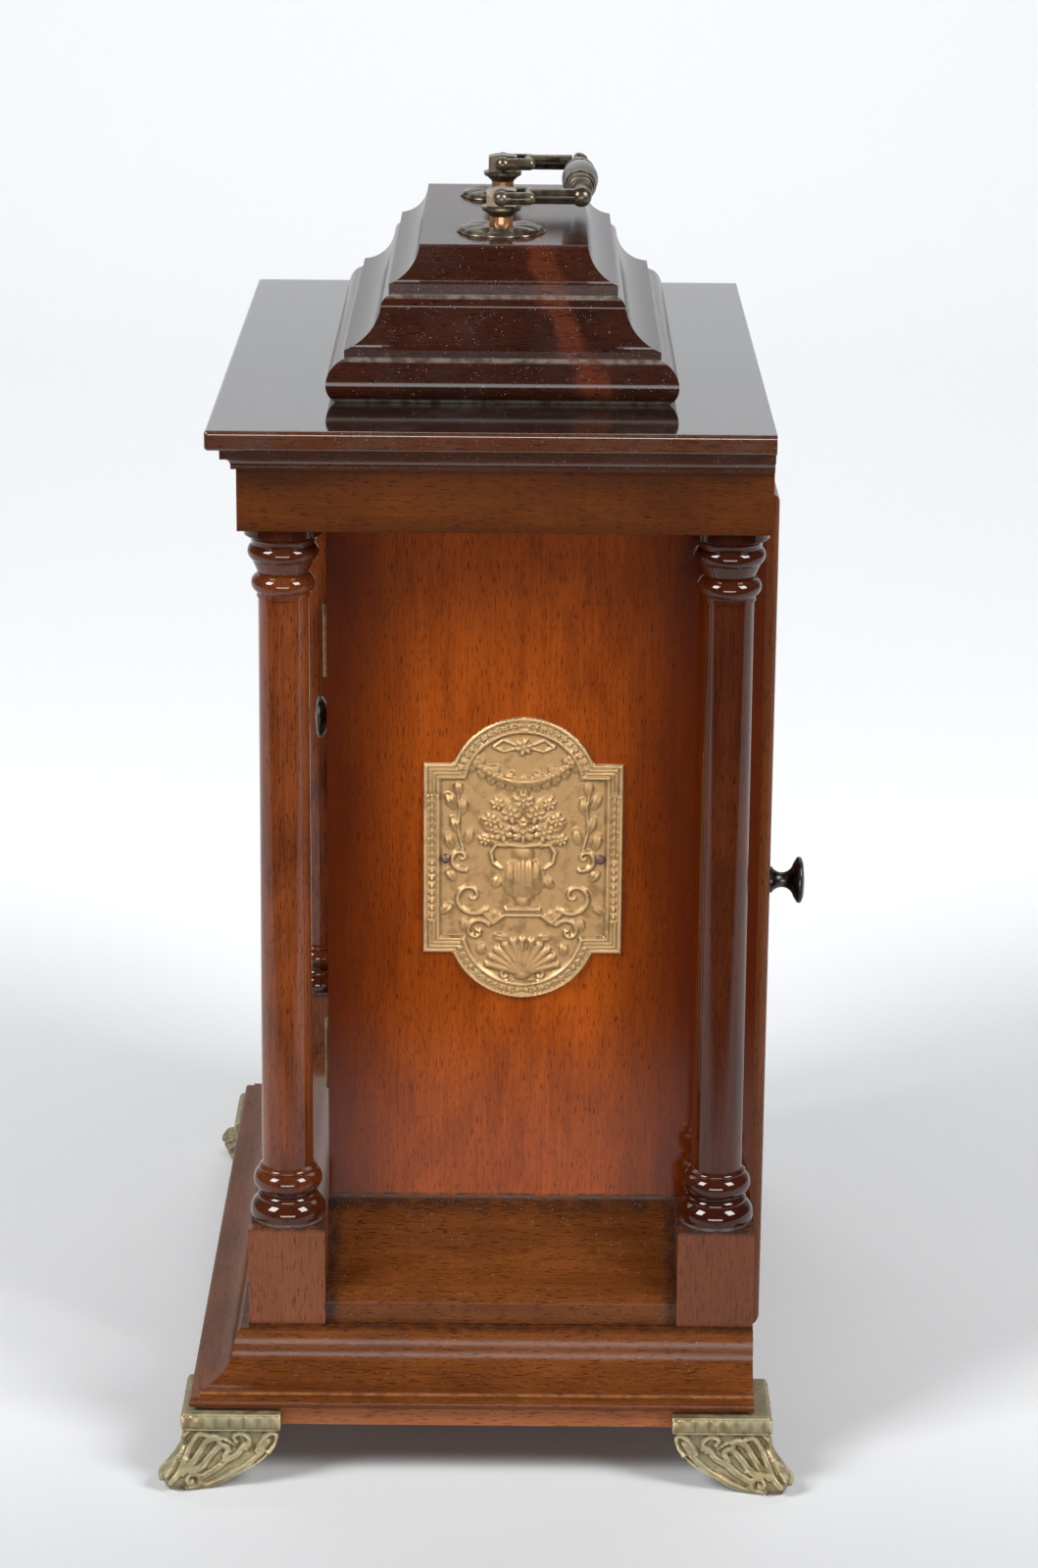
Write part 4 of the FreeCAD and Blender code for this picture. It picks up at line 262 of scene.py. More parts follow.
WOODS = {
    "panel": wood(
        "panel_wood", (0.40, 0.078, 0.006), (0.130, 0.020, 0.001), figure=0.55, fibre=0.3,
        rough=0.36, coat=0.9, coat_rough=0.10, wave=0.02,
        # Darker beside the columns: partly the stain's dark edges, partly painted shadow of the
        # columns.
        shades=[("y", panel_middle - 0.010, 0.024, 0.059, 0.90),
                ("z", panel_heart, 0.115, 0.165, 0.30)],
        lines=[("z", plinth_top, 0.0012, GRIME_AND_SHADE, 0.8)]),
    "frieze": wood(
        "frieze_wood", (0.115, 0.030, 0.005), (0.038, 0.009, 0.002), grain="x",
        mitre=front_mitre, figure=0.55, rough=0.4, coat=0.6, coat_rough=0.12,
        shades=[("z", frieze_heart, 0.017, 0.024, 0.5)]),
    "cornice": wood(
        "cornice_wood", (0.095, 0.025, 0.006), (0.040, 0.010, 0.003), grain="x",
        mitre=front_mitre, figure=0.3, rough=0.3, coat=1.0, coat_rough=0.07, coat_ior=1.85,
        specks=0.5, wave=0.006, haze=0.10,
        dark_above=(slab_high.z - 0.0002, (0.016, 0.008, 0.006)),
        lines=[("z", slab_low.z, 0.0008, GRIME_AND_SHADE, 0.8)]),
    "caddy": wood(
        "caddy_wood", (0.042, 0.010, 0.004), (0.010, 0.004, 0.003), grain="x",
        mitre=caddy_mitre, figure=0.5, rough=0.35, coat=0.7, coat_rough=0.13,
        flame=(0.0325, slab_high.z + 0.004, -0.45, 0.007, 0.7),
        coat_ior=1.4, specks=0.4, haze=0.03, wave=0.010,
        lines=[("z", slab_high.z + 0.0002, 0.0014, DUST, 0.7),
               ("z", slab_high.z + 0.0130, 0.0009, DUST, 0.35),
               ("z", slab_high.z + 0.0305, 0.0009, DUST, 0.35)]),
    "column": wood(
        "column_wood", (0.230, 0.056, 0.013), (0.050, 0.010, 0.003), figure=0.7, fibre=0.35,
        rough=0.25, coat=1.0, coat_rough=0.05,
        shades=[("z", column_heart, 0.085, 0.112, 0.8),
                # Painted shade: the columns are darker the farther back they stand.
                ("y", case_front, 0.060, 0.130, 0.75)],
        lines=[("z", plinth_top + 0.0002, 0.0014, DUST, 0.55),
               # Dark lines in the creases of the base: painted shade with some dirt.
               ("z", plinth_top + 0.0094, 0.0008, GRIME_AND_SHADE, 0.6),
               ("z", plinth_top + 0.0170, 0.0005, GRIME_AND_SHADE, 0.6)]),
    "plinth": wood(
        "plinth_wood", (0.190, 0.056, 0.018), (0.095, 0.026, 0.008), figure=0.3, fibre=0.35,
        # Painted shade: the plinths are darker the farther back they stand.
        rough=0.5, coat=0.7, coat_rough=0.25, shades=[("y", case_front, 0.060, 0.130, 0.3)],
        lines=[("z", plinth_top, 0.0014, GRIME_AND_SHADE, 0.7), ("z", base_top, 0.0009, GRIME_AND_SHADE, 0.8)]),
    "shelf": wood(
        "shelf_wood", (0.150, 0.044, 0.010), (0.042, 0.010, 0.002), grain="x",
        mitre=front_mitre, figure=0.5, rough=0.36, coat=0.45, coat_rough=0.16, specks=0.3,
        # A wide dark band under the panel's foot: painted shade, with some dirt.
        lines=[("z", plinth_top - 0.0005, 0.0070, (0.030, 0.010, 0.004), 0.85),
               ("z", plinth_top, 0.0014, DUST, 0.12),
               # Dark ends beside the plinths: partly the finish's dark glaze, partly painted shade.
               ("y", case_back - 0.0246, 0.0050, (0.020, 0.010, 0.007), 0.85),
               ("y", case_front, 0.0060, (0.020, 0.010, 0.007), 0.85),
               ("z", base_top, 0.0009, GRIME_AND_SHADE, 0.9)]),
    "base": wood(
        "base_wood", (0.165, 0.048, 0.011), (0.050, 0.013, 0.003), grain="x",
        mitre=base_mitre, figure=0.5, fibre=0.35, rough=0.36, coat=0.35, coat_rough=0.2,
        specks=0.25,
        lines=[("z", base_top, 0.0012, GRIME_AND_SHADE, 0.6),
               # A thin pale line along the lower edge: a painted highlight.
               ("z", board_low.z + 0.0040, 0.0007, (0.42, 0.16, 0.04), 0.5)]),
    "board": wood(
        "board_wood", (0.330, 0.115, 0.045), (0.190, 0.058, 0.020), grain="y", figure=0.4,
        rough=0.5, coat=0.3, coat_rough=0.3),
    "door": wood(
        "door_wood", (0.270, 0.062, 0.012), (0.120, 0.026, 0.006), figure=0.45, rough=0.3,
        coat=0.8, seed=0.4),
    "back": wood(
        "back_wood", (0.150, 0.042, 0.011), (0.062, 0.018, 0.005), figure=0.5, rough=0.4,
        coat=0.5, coat_rough=0.15, seed=0.9),
    "plain": wood(
        "plain_wood", (0.300, 0.150, 0.070), (0.180, 0.085, 0.040), grain="x", rough=0.6,
        coat=0.0),
}

METALS = {
    "verdigris": metal(
        "cast_brass", (0.50, 0.33, 0.13), (0.22, 0.13, 0.05), rough=0.5,
        patina=(0.180, 0.188, 0.120), patina_share=0.76, grain_scale=300.0, bump=0.3,
        rub=(0.66, 0.56, 0.34), rub_depth=0.6, hollow=(0.100, 0.048, 0.016)),
    "plaque": metal(
        "plaque_brass", (0.44, 0.265, 0.112), (0.37, 0.215, 0.086), rough=0.40,
        patina=(0.40, 0.236, 0.096), patina_share=0.6, grain_scale=900.0, bump=0.05,
        rub=(0.85, 0.62, 0.33), rub_depth=0.8, hollow=(0.14, 0.11, 0.07)),
    "bronze": metal(
        "dark_bronze", (0.20, 0.145, 0.10), (0.06, 0.045, 0.032), rough=0.27,
        patina=(0.085, 0.085, 0.058), patina_share=0.45, grain_scale=380.0, bump=0.15,
        rub=(0.24, 0.17, 0.11), rub_depth=0.5),
    "post": metal(
        "post_bronze", (0.20, 0.145, 0.10), (0.06, 0.045, 0.032), rough=0.27,
        patina=(0.085, 0.085, 0.058), patina_share=0.3, grain_scale=380.0, bump=0.15,
        copper_below=(post_collar, (0.50, 0.24, 0.12))),
    "pin": metal("dull_copper", (0.24, 0.16, 0.12), (0.16, 0.10, 0.08), rough=0.45),
    "black": metal("black_bronze", (0.090, 0.082, 0.074), (0.035, 0.032, 0.030), rough=0.3),
    "brass": metal("polished_brass", (0.80, 0.58, 0.26), (0.66, 0.45, 0.18), rough=0.2),
    "hinge": metal("aged_brass", (0.30, 0.19, 0.085), (0.15, 0.09, 0.04), rough=0.4),
    "matted": metal("matted_brass", (0.70, 0.50, 0.22), (0.48, 0.32, 0.12), rough=0.55,
                    grain_scale=1500.0, bump=0.6),
    "steel": metal("grey_steel", (0.56, 0.56, 0.58), (0.40, 0.40, 0.42), rough=0.28),
    "blued": metal("blued_steel", (0.022, 0.028, 0.060), (0.012, 0.014, 0.030), rough=0.22),
    "silver": metal("silvered_brass", (0.80, 0.78, 0.72), (0.68, 0.66, 0.60), rough=0.42,
                    grain_scale=900.0),
}


def glass_material():
    p = Paint("glass_paint")
    haze = p.noise(p.stretched((40.0, 40.0, 40.0)), detail=2.0)
    p.set(Base_Color=(0.96, 0.98, 0.97, 1.0), Transmission_Weight=1.0, IOR=1.45,
          Roughness=p.span(haze, 0.3, 0.8, 0.0, 0.02))
    return p.material


FINISH = {
    "panel": ["side_panel_left", "side_panel_right"],
    "frieze": ["frieze"],
    "cornice": ["cornice_moulding", "cornice_board"],
    "caddy": ["caddy_lower", "caddy_middle", "caddy_upper"],
    "column": ["column_front_left", "column_front_right", "column_rear_left", "column_rear_right"],
    "plinth": ["plinth_blocks"],
    "shelf": ["shelf_moulding"],
    "base": ["base_moulding", "base_board"],
    "board": ["bottom_board"],
    "door": ["front_door_frame"],
    "back": ["rear_door"],
    "plain": ["seat_board"],
    "verdigris": ["foot_front_left", "foot_front_right", "foot_rear_left", "foot_rear_right"],
    "plaque": ["plaque_left", "plaque_right"],
    "pin": ["plaque_pins"],
    "post": ["handle_posts"],
    "bronze": ["handle_rosettes", "handle_bail"],
    "black": ["front_knob", "rear_knob", "bell_stand"],
    "hinge": ["case_hinge_leaves", "front_hinge_leaves", "rear_hinge_leaves"],
    "brass": ["front_plate", "back_plate", "plate_pillars", "going_barrel", "intermediate_wheel",
              "centre_wheel", "third_wheel", "escape_wheel", "pendulum_cock", "pendulum",
              "cannon_pinion", "minute_wheel", "hour_wheel", "bell"],
    "matted": ["dial_plate"],
    "steel": ["winding_arbor", "ratchet_click", "anchor", "hammer"],
    "blued": ["hour_hand", "minute_hand"],
    "silver": ["chapter_ring"],
}
painted = dict(WOODS, **METALS)


def give(thing, material):
    for slot in thing.material_slots:
        slot.material = material
    if not thing.material_slots:
        thing.data.materials.append(material)


for finish, names in FINISH.items():
    for name in names:
        give(nodes[name], painted[finish])
give(nodes["front_glass"], glass_material())


# ---------------------------------------------------------------- camera and studio

def stand_camera():
    """The photograph's own view: level with the cornice, looking down at the right side."""
    lens = bpy.data.cameras.new("camera")
    lens.lens = 96.75
    lens.sensor_width = 36.0
    lens.clip_start = 0.05
    lens.clip_end = 50.0
    camera = bpy.data.objects.new("camera", lens)
    bpy.context.scene.collection.objects.link(camera)
    pitch = math.radians(16.58)
    roll = math.radians(0.48)
    ahead = Vector((-math.cos(pitch), 0.0, -math.sin(pitch)))
    turn = ahead.to_track_quat("-Z", "Y").to_matrix() @ Matrix.Rotation(roll, 3, "Z")
    camera.matrix_world = Matrix.Translation((1.374, 0.0103, 0.601)) @ turn.to_4x4()
    bpy.context.scene.camera = camera


def soft_light(name, place, aim, size, power):
    lamp = bpy.data.lights.new(name, "AREA")
    lamp.shape = "RECTANGLE"
    lamp.size, lamp.size_y = size
    lamp.energy = power
    thing = bpy.data.objects.new(name, lamp)
    thing.location = place
    thing.rotation_euler = (Vector(aim) - Vector(place)).to_track_quat("-Z", "Y").to_euler()
    bpy.context.scene.collection.objects.link(thing)


def mesh_piece(name, points, faces, material, smooth=True):
    mesh = bpy.data.meshes.new(name)
    mesh.from_pydata([tuple(p) for p in points], [], faces)
    mesh.validate()
    mesh.update()
    mesh.materials.append(material)
    if smooth:
        mesh.shade_smooth()
    thing = bpy.data.objects.new(name, mesh)
    bpy.context.scene.collection.objects.link(thing)
    return thing


def studio():
    """A paper sweep in a dim room with two softboxes. Its colour is painted light and shade: whiter
    behind the clock than under it, greyer just in front, and painted nearly black from half a metre
    in front, so that upright varnish reflects no white floor."""
    p = Paint("sweep")
    x, y, z = p.axes()
    # Painted light and shade on the paper: whiter behind the clock, greyer in front, nearly black
    # beyond.
    tone = p.span(x, -0.02, -0.60, 0.70, 0.93)
    tone = p.math("MULTIPLY", tone, p.span(x, 0.04, 0.24, 1.0, 0.78))
    tone = p.math("MULTIPLY", tone, p.span(x, 0.32, 0.52, 1.0, 0.03))
    p.set(Base_Color=p.vector(p.math("MULTIPLY", tone, 0.985), tone,
                              p.math("MULTIPLY", tone, 1.02)), Roughness=0.8)
    p.set(Specular_IOR_Level=0.1)
    rows = []
    for step in range(12):
        rows.append((1.3 - step * 0.28, 0.0))
    for step in range(13):
        angle = math.radians(7.5 * step)
        rows.append((-1.8 - 0.9 * math.sin(angle), 0.9 * (1.0 - math.cos(angle))))
    rows.append((-2.7, 2.6))
    points = []
    for place_x, place_z in rows:
        points.append((place_x, -4.0, place_z))
        points.append((place_x, 4.0, place_z))
    faces = [(2 * i, 2 * i + 1, 2 * i + 3, 2 * i + 2) for i in range(len(rows) - 1)]
    sweep = mesh_piece("sweep", points, faces, p.material)
    world = bpy.data.worlds.new("studio")
    world.use_nodes = True
    world.node_tree.nodes["Background"].inputs[0].default_value = (0.92, 0.96, 1.0, 1.0)
    world.node_tree.nodes["Background"].inputs[1].default_value = 0.07
    bpy.context.scene.world = world
    soft_light("left_box", (0.82, -1.12, 1.25), (0.0, 0.0, 0.15), (0.6, 0.8), 28.0)
    soft_light("right_box", (0.82, 1.12, 1.25), (0.0, 0.0, 0.15), (0.6, 0.8), 25.0)
    soft_light("front_fill", (2.1, 0.0, 0.26), (0.0, 0.0, 0.12), (1.6, 0.4), 19.0)
    soft_light("back_wash", (-1.5, 0.0, 2.5), (-2.5, 0.0, 0.3), (3.0, 0.6), 37.0)
    bpy.context.scene.view_settings.view_transform = "Standard"
    bpy.context.scene.view_settings.look = "None"


stand_camera()
studio()


# ---------------------------------------------------------------- relief drawn as a height field

def dome(u, v, x, y, wide, high, rise, turn=0.0):
    """A rounded boss."""
    c, s = math.cos(turn), math.sin(turn)
    a = ((u - x) * c + (v - y) * s) / wide
    b = (-(u - x) * s + (v - y) * c) / high
    return rise * np.sqrt(np.clip(1.0 - a * a - b * b, 0.0, None))


def leaf(u, v, x, y, length, width, rise, turn):
    """A pointed leaf with a sunk midrib, growing from a point along an angle."""
    c, s = math.cos(turn), math.sin(turn)
    a = ((u - x) * c + (v - y) * s) / length
    b = (-(u - x) * s + (v - y) * c) / width
    edge = np.clip(np.sin(np.clip(a, 0.0, 1.0) * math.pi), 0.0, None) ** 0.8
    inside = np.clip(edge - np.abs(b), 0.0, None)
    body = np.sqrt(np.clip(inside * (edge + np.abs(b)), 0.0, None)) * rise
    rib = np.exp(-(b * 5.0) ** 2) * 0.25 * rise
    return np.where(inside > 0, body - rib, 0.0)


def stroke(u, v, points, width, rise, taper=0.4):
    """A rounded stem through points, thinner towards its end."""
    best = np.zeros_like(u)
    count = len(points) - 1
    for index in range(count):
        (ax, ay), (bx, by) = points[index], points[index + 1]
        dx, dy = bx - ax, by - ay
        length = dx * dx + dy * dy + 1e-9
        t = np.clip(((u - ax) * dx + (v - ay) * dy) / length, 0.0, 1.0)
        away = np.hypot(u - ax - t * dx, v - ay - t * dy)
        size = width * (1.0 - (1.0 - taper) * (index + t) / count)
        best = np.maximum(best, rise * np.sqrt(np.clip(1.0 - (away / size) ** 2, 0.0, None)))
    return best


def spiral(x, y, start, turns, size, hand, steps=26):
    """Points of a volute that winds in to its eye."""
    points = []
    for step in range(steps):
        t = step / (steps - 1)
        radius = size * (1.0 - t) ** 1.25 + size * 0.06
        angle = start + hand * turns * 2.0 * math.pi * t
        points.append((x + radius * math.cos(angle), y + radius * math.sin(angle)))
    return points


def rosette(u, v, x, y, size, rise):
    """A flower of six petals round a boss."""
    petals = 6
    h = np.zeros_like(u)
    for index in range(petals):
        a = index * 2 * math.pi / petals + 0.3
        h = np.maximum(h, dome(u, v, x + 0.55 * size * math.cos(a), y + 0.55 * size * math.sin(a),
                               size * 0.46, size * 0.30, rise, a))
    return np.maximum(h, dome(u, v, x, y, size * 0.28, size * 0.28, rise * 1.15))


def plaque_relief(u, v):
    """A vase of flowers between scrolls, all of it symmetric. Millimetres."""
    m = np.abs(u)
    h = np.zeros_like(u)
    flutes = 0.12 * np.cos(u * 2.6)
    vase = dome(u, v, 0, -6.5, 7.2, 7.4, 1.15)
    h = np.maximum(h, np.where(vase > 0.05, vase + flutes, 0))
    h = np.maximum(h, dome(u, v, 0, 1.6, 3.6, 3.4, 0.9))
    h = np.maximum(h, stroke(m, v, [(0, 4.2), (5.6, 4.9)], 0.9, 1.0, 1.0))
    h = np.maximum(h, dome(u, v, 0, -14.4, 2.4, 2.2, 0.9))
    h = np.maximum(h, stroke(m, v, [(0, -17.0), (5.0, -17.0)], 1.0, 0.9, 1.0))
    h = np.maximum(h, stroke(m, v, [(0, -19.0), (7.0, -19.0)], 0.8, 0.7, 1.0))
    h = np.maximum(h, stroke(m, v, [(5.4, 4.4), (8.6, 4.8), (10.2, 2.2), (9.4, -1.4), (7.0, -3.2)],
                             0.9, 0.9, 0.7))
    # flowers and leaves above the lip
    for x, y, length, turn in ((2, 6, 11, 1.9), (4, 6, 10, 1.15), (5, 7, 11, 0.55),
                               (4, 9, 10, 0.9), (6, 6, 9, 0.1), (1, 10, 12, 1.45),
                               (6, 10, 9, 0.35), (3, 14, 9, 0.95)):
        h = np.maximum(h, leaf(m, v, x, y, length, 2.0, 0.75, turn))
    for x, y, size in ((0, 9.0, 4.2), (6.6, 8.6, 3.6), (4.0, 14.8, 3.4), (0, 19.4, 3.4),
                       (10.6, 12.8, 2.8), (8.2, 18.2, 2.4), (12.2, 6.4, 2.3)):
        h = np.maximum(h, rosette(m, v, x, y, size, 1.05))
    # long scrolls and sprays at the sides
    for x, y, start, turns, size, hand in ((16.4, -12.6, -2.4, 1.25, 6.2, 1),
                                           (14.6, -24.4, 2.6, 1.15, 4.2, -1),
                                           (19.6, 0.2, -1.9, 1.1, 4.0, 1)):
        h = np.maximum(h, stroke(m, v, spiral(x, y, start, turns, size, hand), 1.0, 0.85, 0.45))
    h = np.maximum(h, stroke(m, v, [(6.6, -19.4), (9.4, -21.6), (12.0, -18.6)], 1.0, 0.8, 0.9))
    for x, y, length, turn in ((10, -10, 6, 2.3), (12, -17, 6, -2.5), (21, -8, 6, 0.9),
                               (22, -15, 6, -0.7), (18, -19, 6, -1.4), (22.6, 2.4, 7, 1.3),
                               (18, 4, 7, 1.8), (20.4, 8, 7, 1.2), (19.8, 14, 7, 1.75),
                               (21.6, 16, 7, 1.1), (20.6, 20.5, 6, 1.55), (14, -28, 5, -1.9),
                               (10, -26, 6, 3.3)):
        h = np.maximum(h, leaf(m, v, x, y, length, 1.6, 0.7, turn))
    h = np.maximum(h, stroke(m, v, [(18.8, 2.0), (20.6, 9.0), (20.4, 16.0), (21.0, 24.0)], 0.5,
                             0.6, 0.6))
    # a shell in the lower lobe and a swag in the upper one
    for index in range(6):
        a = math.radians(90 - 15 * index)
        tip = (11.25 * math.cos(a), -38.4 + 11.0 * math.sin(a))
        h = np.maximum(h, stroke(m, v, [(0.12 * index, -38.4), tip], 1.25, 0.9, 1.0))
    h = np.maximum(h, dome(u, v, 0, -39.0, 2.6, 1.8, 1.0))
    h = np.maximum(h, stroke(m, v, spiral(5.2, -39.2, 2.6, 0.9, 2.6, -1), 0.7, 0.8, 0.6))
    for index in range(11):
        t = index / 10.0
        x = 15.4 * t
        y = 25.2 + 6.6 * t ** 2
        size = 1.9 - 0.7 * t
        h = np.maximum(h, dome(m, v, x, y, size, size, 0.9))
        h = np.maximum(h, leaf(m, v, x, y, 3.8, 1.0, 0.6, 1.9 + 0.5 * (index % 3)))
        h = np.maximum(h, leaf(m, v, x, y, 3.8, 1.0, 0.6, -1.2 - 0.4 * (index % 2)))
    h = np.maximum(h, rosette(m, v, 15.8, 32.4, 2.5, 0.9))
    h = np.maximum(h, rosette(u, v, 0, 37.0, 3.0, 0.95))
    h = np.maximum(h, stroke(m, v, [(2.4, 37.6), (6.6, 39.4), (9.6, 37.0), (6.4, 35.6),
                                    (2.4, 36.6)], 0.55, 0.7, 0.9))
    return h


def plaque_mesh(name, node, body):
    """One plaque: a reeded and laurelled border round the relief, closed down to the panel."""
    low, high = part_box(node)
    outward = 1.0 if low.x > 0 else -1.0
    face = min(abs(low.x), abs(high.x))
    half_wide = (high.y - low.y) / 2 / MM
    apex = (high.z - low.z) / 2 / MM
    middle = (low + high) / 2
    lobe_rise, half_chord = 15.2, 22.2
    border = 5.2
    laurel_reach = 21.0
    pin_place, pin_clear = 24.6, 1.5
    edge = apex - lobe_rise
    radius = (half_chord ** 2 + lobe_rise ** 2) / (2 * lobe_rise)
    lobe = apex - radius

    def inset(u, v):
        square = np.minimum(half_wide - np.abs(u), edge - np.abs(v))
        disc = radius - np.hypot(u, np.abs(v) - lobe)
        return np.maximum(square, disc), disc > square

    step = 0.36
    wide = int(half_wide / step) + 2
    tall = int(apex / step) + 2
    u, v = np.meshgrid(np.arange(-wide, wide + 1) * step, np.arange(-tall, tall + 1) * step,
                       indexing="ij")
    # grid points just outside are pulled in to the outline
    for _ in range(3):
        depth, on_disc = inset(u, v)
        outside = (depth < 0) & (depth > -step * 1.5)
        away = np.hypot(u, np.abs(v) - lobe) + 1e-9
        pull_u = np.where(on_disc, u / away,
                          np.where(half_wide - np.abs(u) < edge - np.abs(v), np.sign(u), 0))
        pull_v = np.where(on_disc, (np.abs(v) - lobe) / away * np.sign(v),
                          np.where(half_wide - np.abs(u) < edge - np.abs(v), 0, np.sign(v)))
        u = np.where(outside, u + pull_u * depth, u)
        v = np.where(outside, v + pull_v * depth, v)
    depth, on_disc = inset(u, v)
    keep = depth > -0.02
    # reeds at both edges of the border, and a laurel band between them
    reeds = np.zeros_like(u)
    for where, size in ((0.55, 0.5), (1.45, 0.35), (3.75, 0.35), (4.55, 0.5)):
        reeds = np.maximum(reeds, np.sqrt(np.clip(1 - ((depth - where) / size) ** 2, 0, None)))
    around = np.where(on_disc, np.arctan2(u, np.abs(v) - lobe) * radius * 0.9, v)
    half_turn = np.where(on_disc, np.abs(around), np.abs(v))
    side_band = ~on_disc & (half_wide - np.abs(u) < edge - np.abs(v))
    t = np.clip((depth - 2.6) / 1.15, -1, 1)
    phase = (half_turn / 2.5 + 0.45 * np.abs(t)) % 1.0
    laurel = (1 - np.abs(t) ** 2.2) * (0.15 + 0.85 * np.sqrt(phase)) * (np.abs(t) > 0.07)
    level = 0.75 + 0.65 * reeds
    leafy = on_disc | (side_band & (np.abs(v) < laurel_reach))
    level = np.where(leafy & (np.abs(t) < 1), 0.72 + 0.85 * laurel, level)
    lines = np.abs(np.sin((depth - 0.1) * math.pi / 1.25)) ** 0.6
    level = np.where(~leafy, 0.75 + 0.6 * lines, level)
    field = 0.22 + 1.1 * plaque_relief(u, v)
    share = np.clip((depth - border) / 0.35, 0, 1)
    height = level * (1 - share) + field * share
    height = np.where(depth < 0.12, 0.62, height)
    for side in (-1, 1):
        hole = np.hypot(u - side * pin_place, v) < pin_clear
        height = np.where(hole, 0.55, height)
    index = -np.ones(u.shape, int)
    index[keep] = np.arange(keep.sum())
    points = np.column_stack([u[keep], v[keep], height[keep]])
    faces = []
    quads = keep[:-1, :-1] & keep[1:, :-1] & keep[1:, 1:] & keep[:-1, 1:]
    for i, j in zip(*np.nonzero(quads)):
        faces.append((index[i, j], index[i + 1, j], index[i + 1, j + 1], index[i, j + 1]))
    three = [((0, 0), (1, 0), (0, 1)), ((1, 0), (1, 1), (0, 1)), ((0, 0), (1, 0), (1, 1)),
             ((0, 0), (1, 1), (0, 1))]
    count = (keep[:-1, :-1].astype(int) + keep[1:, :-1] + keep[1:, 1:] + keep[:-1, 1:])
    for i, j in zip(*np.nonzero(count == 3)):
        for corners in three:
            if all(keep[i + a, j + b] for a, b in corners):
                faces.append(tuple(index[i + a, j + b] for a, b in corners))
                break
    # the open rim is closed down to the panel
    used = {}
    for face_corners in faces:
        for a, b in zip(face_corners, face_corners[1:] + face_corners[:1]):
            used[(a, b)] = used.get((a, b), 0) + 1
    rim = [(a, b) for (a, b) in used if (b, a) not in used]
    feet = {}
    base = []
    for a, b in rim:
        for corner in (a, b):
            if corner not in feet:
                feet[corner] = len(points) + len(base)
                base.append((points[corner][0], points[corner][1], 0.0))
        faces.append((b, a, feet[a], feet[b]))
    points = np.vstack([points, np.array(base)])
    placed = []
    for a, b, c in points:
        placed.append((outward * (face + c * MM), middle.y + outward * a * MM, middle.z + b * MM))
    piece = mesh_piece(name, placed, faces, METALS["plaque"])
    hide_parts(node)
    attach(piece, body)


plaque_mesh("plaque_relief_right", "plaque_right", "case")
plaque_mesh("plaque_relief_left", "plaque_left", "case")


# ---------------------------------------------------------------- dial

NUMERALS = ["XII", "I", "II", "III", "IIII", "V", "VI", "VII", "VIII", "IX", "X", "XI"]
LETTER_WIDTHS = {"I": 2.5, "V": 6.4, "X": 6.6}


def dial_marks():
    """Plain Roman numerals between thin rules, a minute track outside them, all in black wax."""
    low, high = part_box("chapter_ring")
    middle_x = (low.x + high.x) / 2
    middle_z = (low.z + high.z) / 2
    level = low.y - 0.00006
    foot_out, head_out = 49.8, 59.2
    track_in, track_out = 61.2, 63.9
    thick, thin = 1.5, 0.5
    points = []
    faces = []

    def mark(turn, corners):
        first = len(points)
        for across, out in corners:
            points.append((middle_x + (math.sin(turn) * out + math.cos(turn) * across) * MM, level,
                           middle_z + (math.cos(turn) * out - math.sin(turn) * across) * MM))
        faces.append(tuple(range(first, first + len(corners))))

    def slanted(turn, foot, head, width):
        mark(turn, [(foot - width / 2, foot_out), (foot + width / 2, foot_out),
                    (head + width / 2, head_out), (head - width / 2, head_out)])

    for radius, width in ((47.6, 0.25), (61.0, 0.25), (63.8, 0.25)):
        for step in range(240):
            turn = math.radians(1.5 * step)
            reach = radius * math.tan(math.radians(0.75)) + 0.01
            mark(turn, [(-reach, radius), (reach, radius), (reach, radius + width),
                        (-reach, radius + width)])
    for minute in range(60):
        half = 0.5 if minute % 5 == 0 else 0.16
        mark(math.radians(6.0 * minute), [(-half, track_in), (half, track_in),
                                          (half, track_out), (-half, track_out)])
    for hour, word in enumerate(NUMERALS):
        turn = math.radians(30.0 * hour)
        total = sum(LETTER_WIDTHS[letter] for letter in word)
        at = -total / 2
        for letter in word:
            centre = at + LETTER_WIDTHS[letter] / 2
            at += LETTER_WIDTHS[letter]
            if letter == "I":
                slanted(turn, centre, centre, 1.35)
            elif letter == "V":
                slanted(turn, centre, centre - 2.2, thick)
                slanted(turn, centre, centre + 2.2, thin)
            else:
                slanted(turn, centre + 2.1, centre - 2.1, thick)
                slanted(turn, centre - 2.1, centre + 2.1, thin)
        for out in (49.4, head_out):
            mark(turn, [(-total / 2, out), (total / 2, out), (total / 2, out + 0.4),
                        (-total / 2, out + 0.4)])
    wax = Paint("black_wax")
    worn = wax.noise(wax.stretched((700.0, 700.0, 700.0)), detail=2.0)
    wax.set(Base_Color=wax.blend(worn, rgba((0.006, 0.006, 0.007)), rgba((0.020, 0.019, 0.018))),
            Roughness=0.5)
    marks = mesh_piece("dial_marks", points, faces, wax.material, smooth=False)
    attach(marks, "case")


dial_marks()


# ---------------------------------------------------------------- cast feet

def remeshed(node, voxel):
    """The vertices and faces of a CAD node, rebuilt on an even grid."""
    source = nodes[node]
    copy = bpy.data.objects.new("working", source.data.copy())
    bpy.context.scene.collection.objects.link(copy)
    modifier = copy.modifiers.new("even", "REMESH")
    modifier.mode = "VOXEL"
    modifier.voxel_size = voxel
    graph = bpy.context.evaluated_depsgraph_get()
    mesh = bpy.data.meshes.new_from_object(copy.evaluated_get(graph))
    bpy.data.objects.remove(copy)
    return mesh


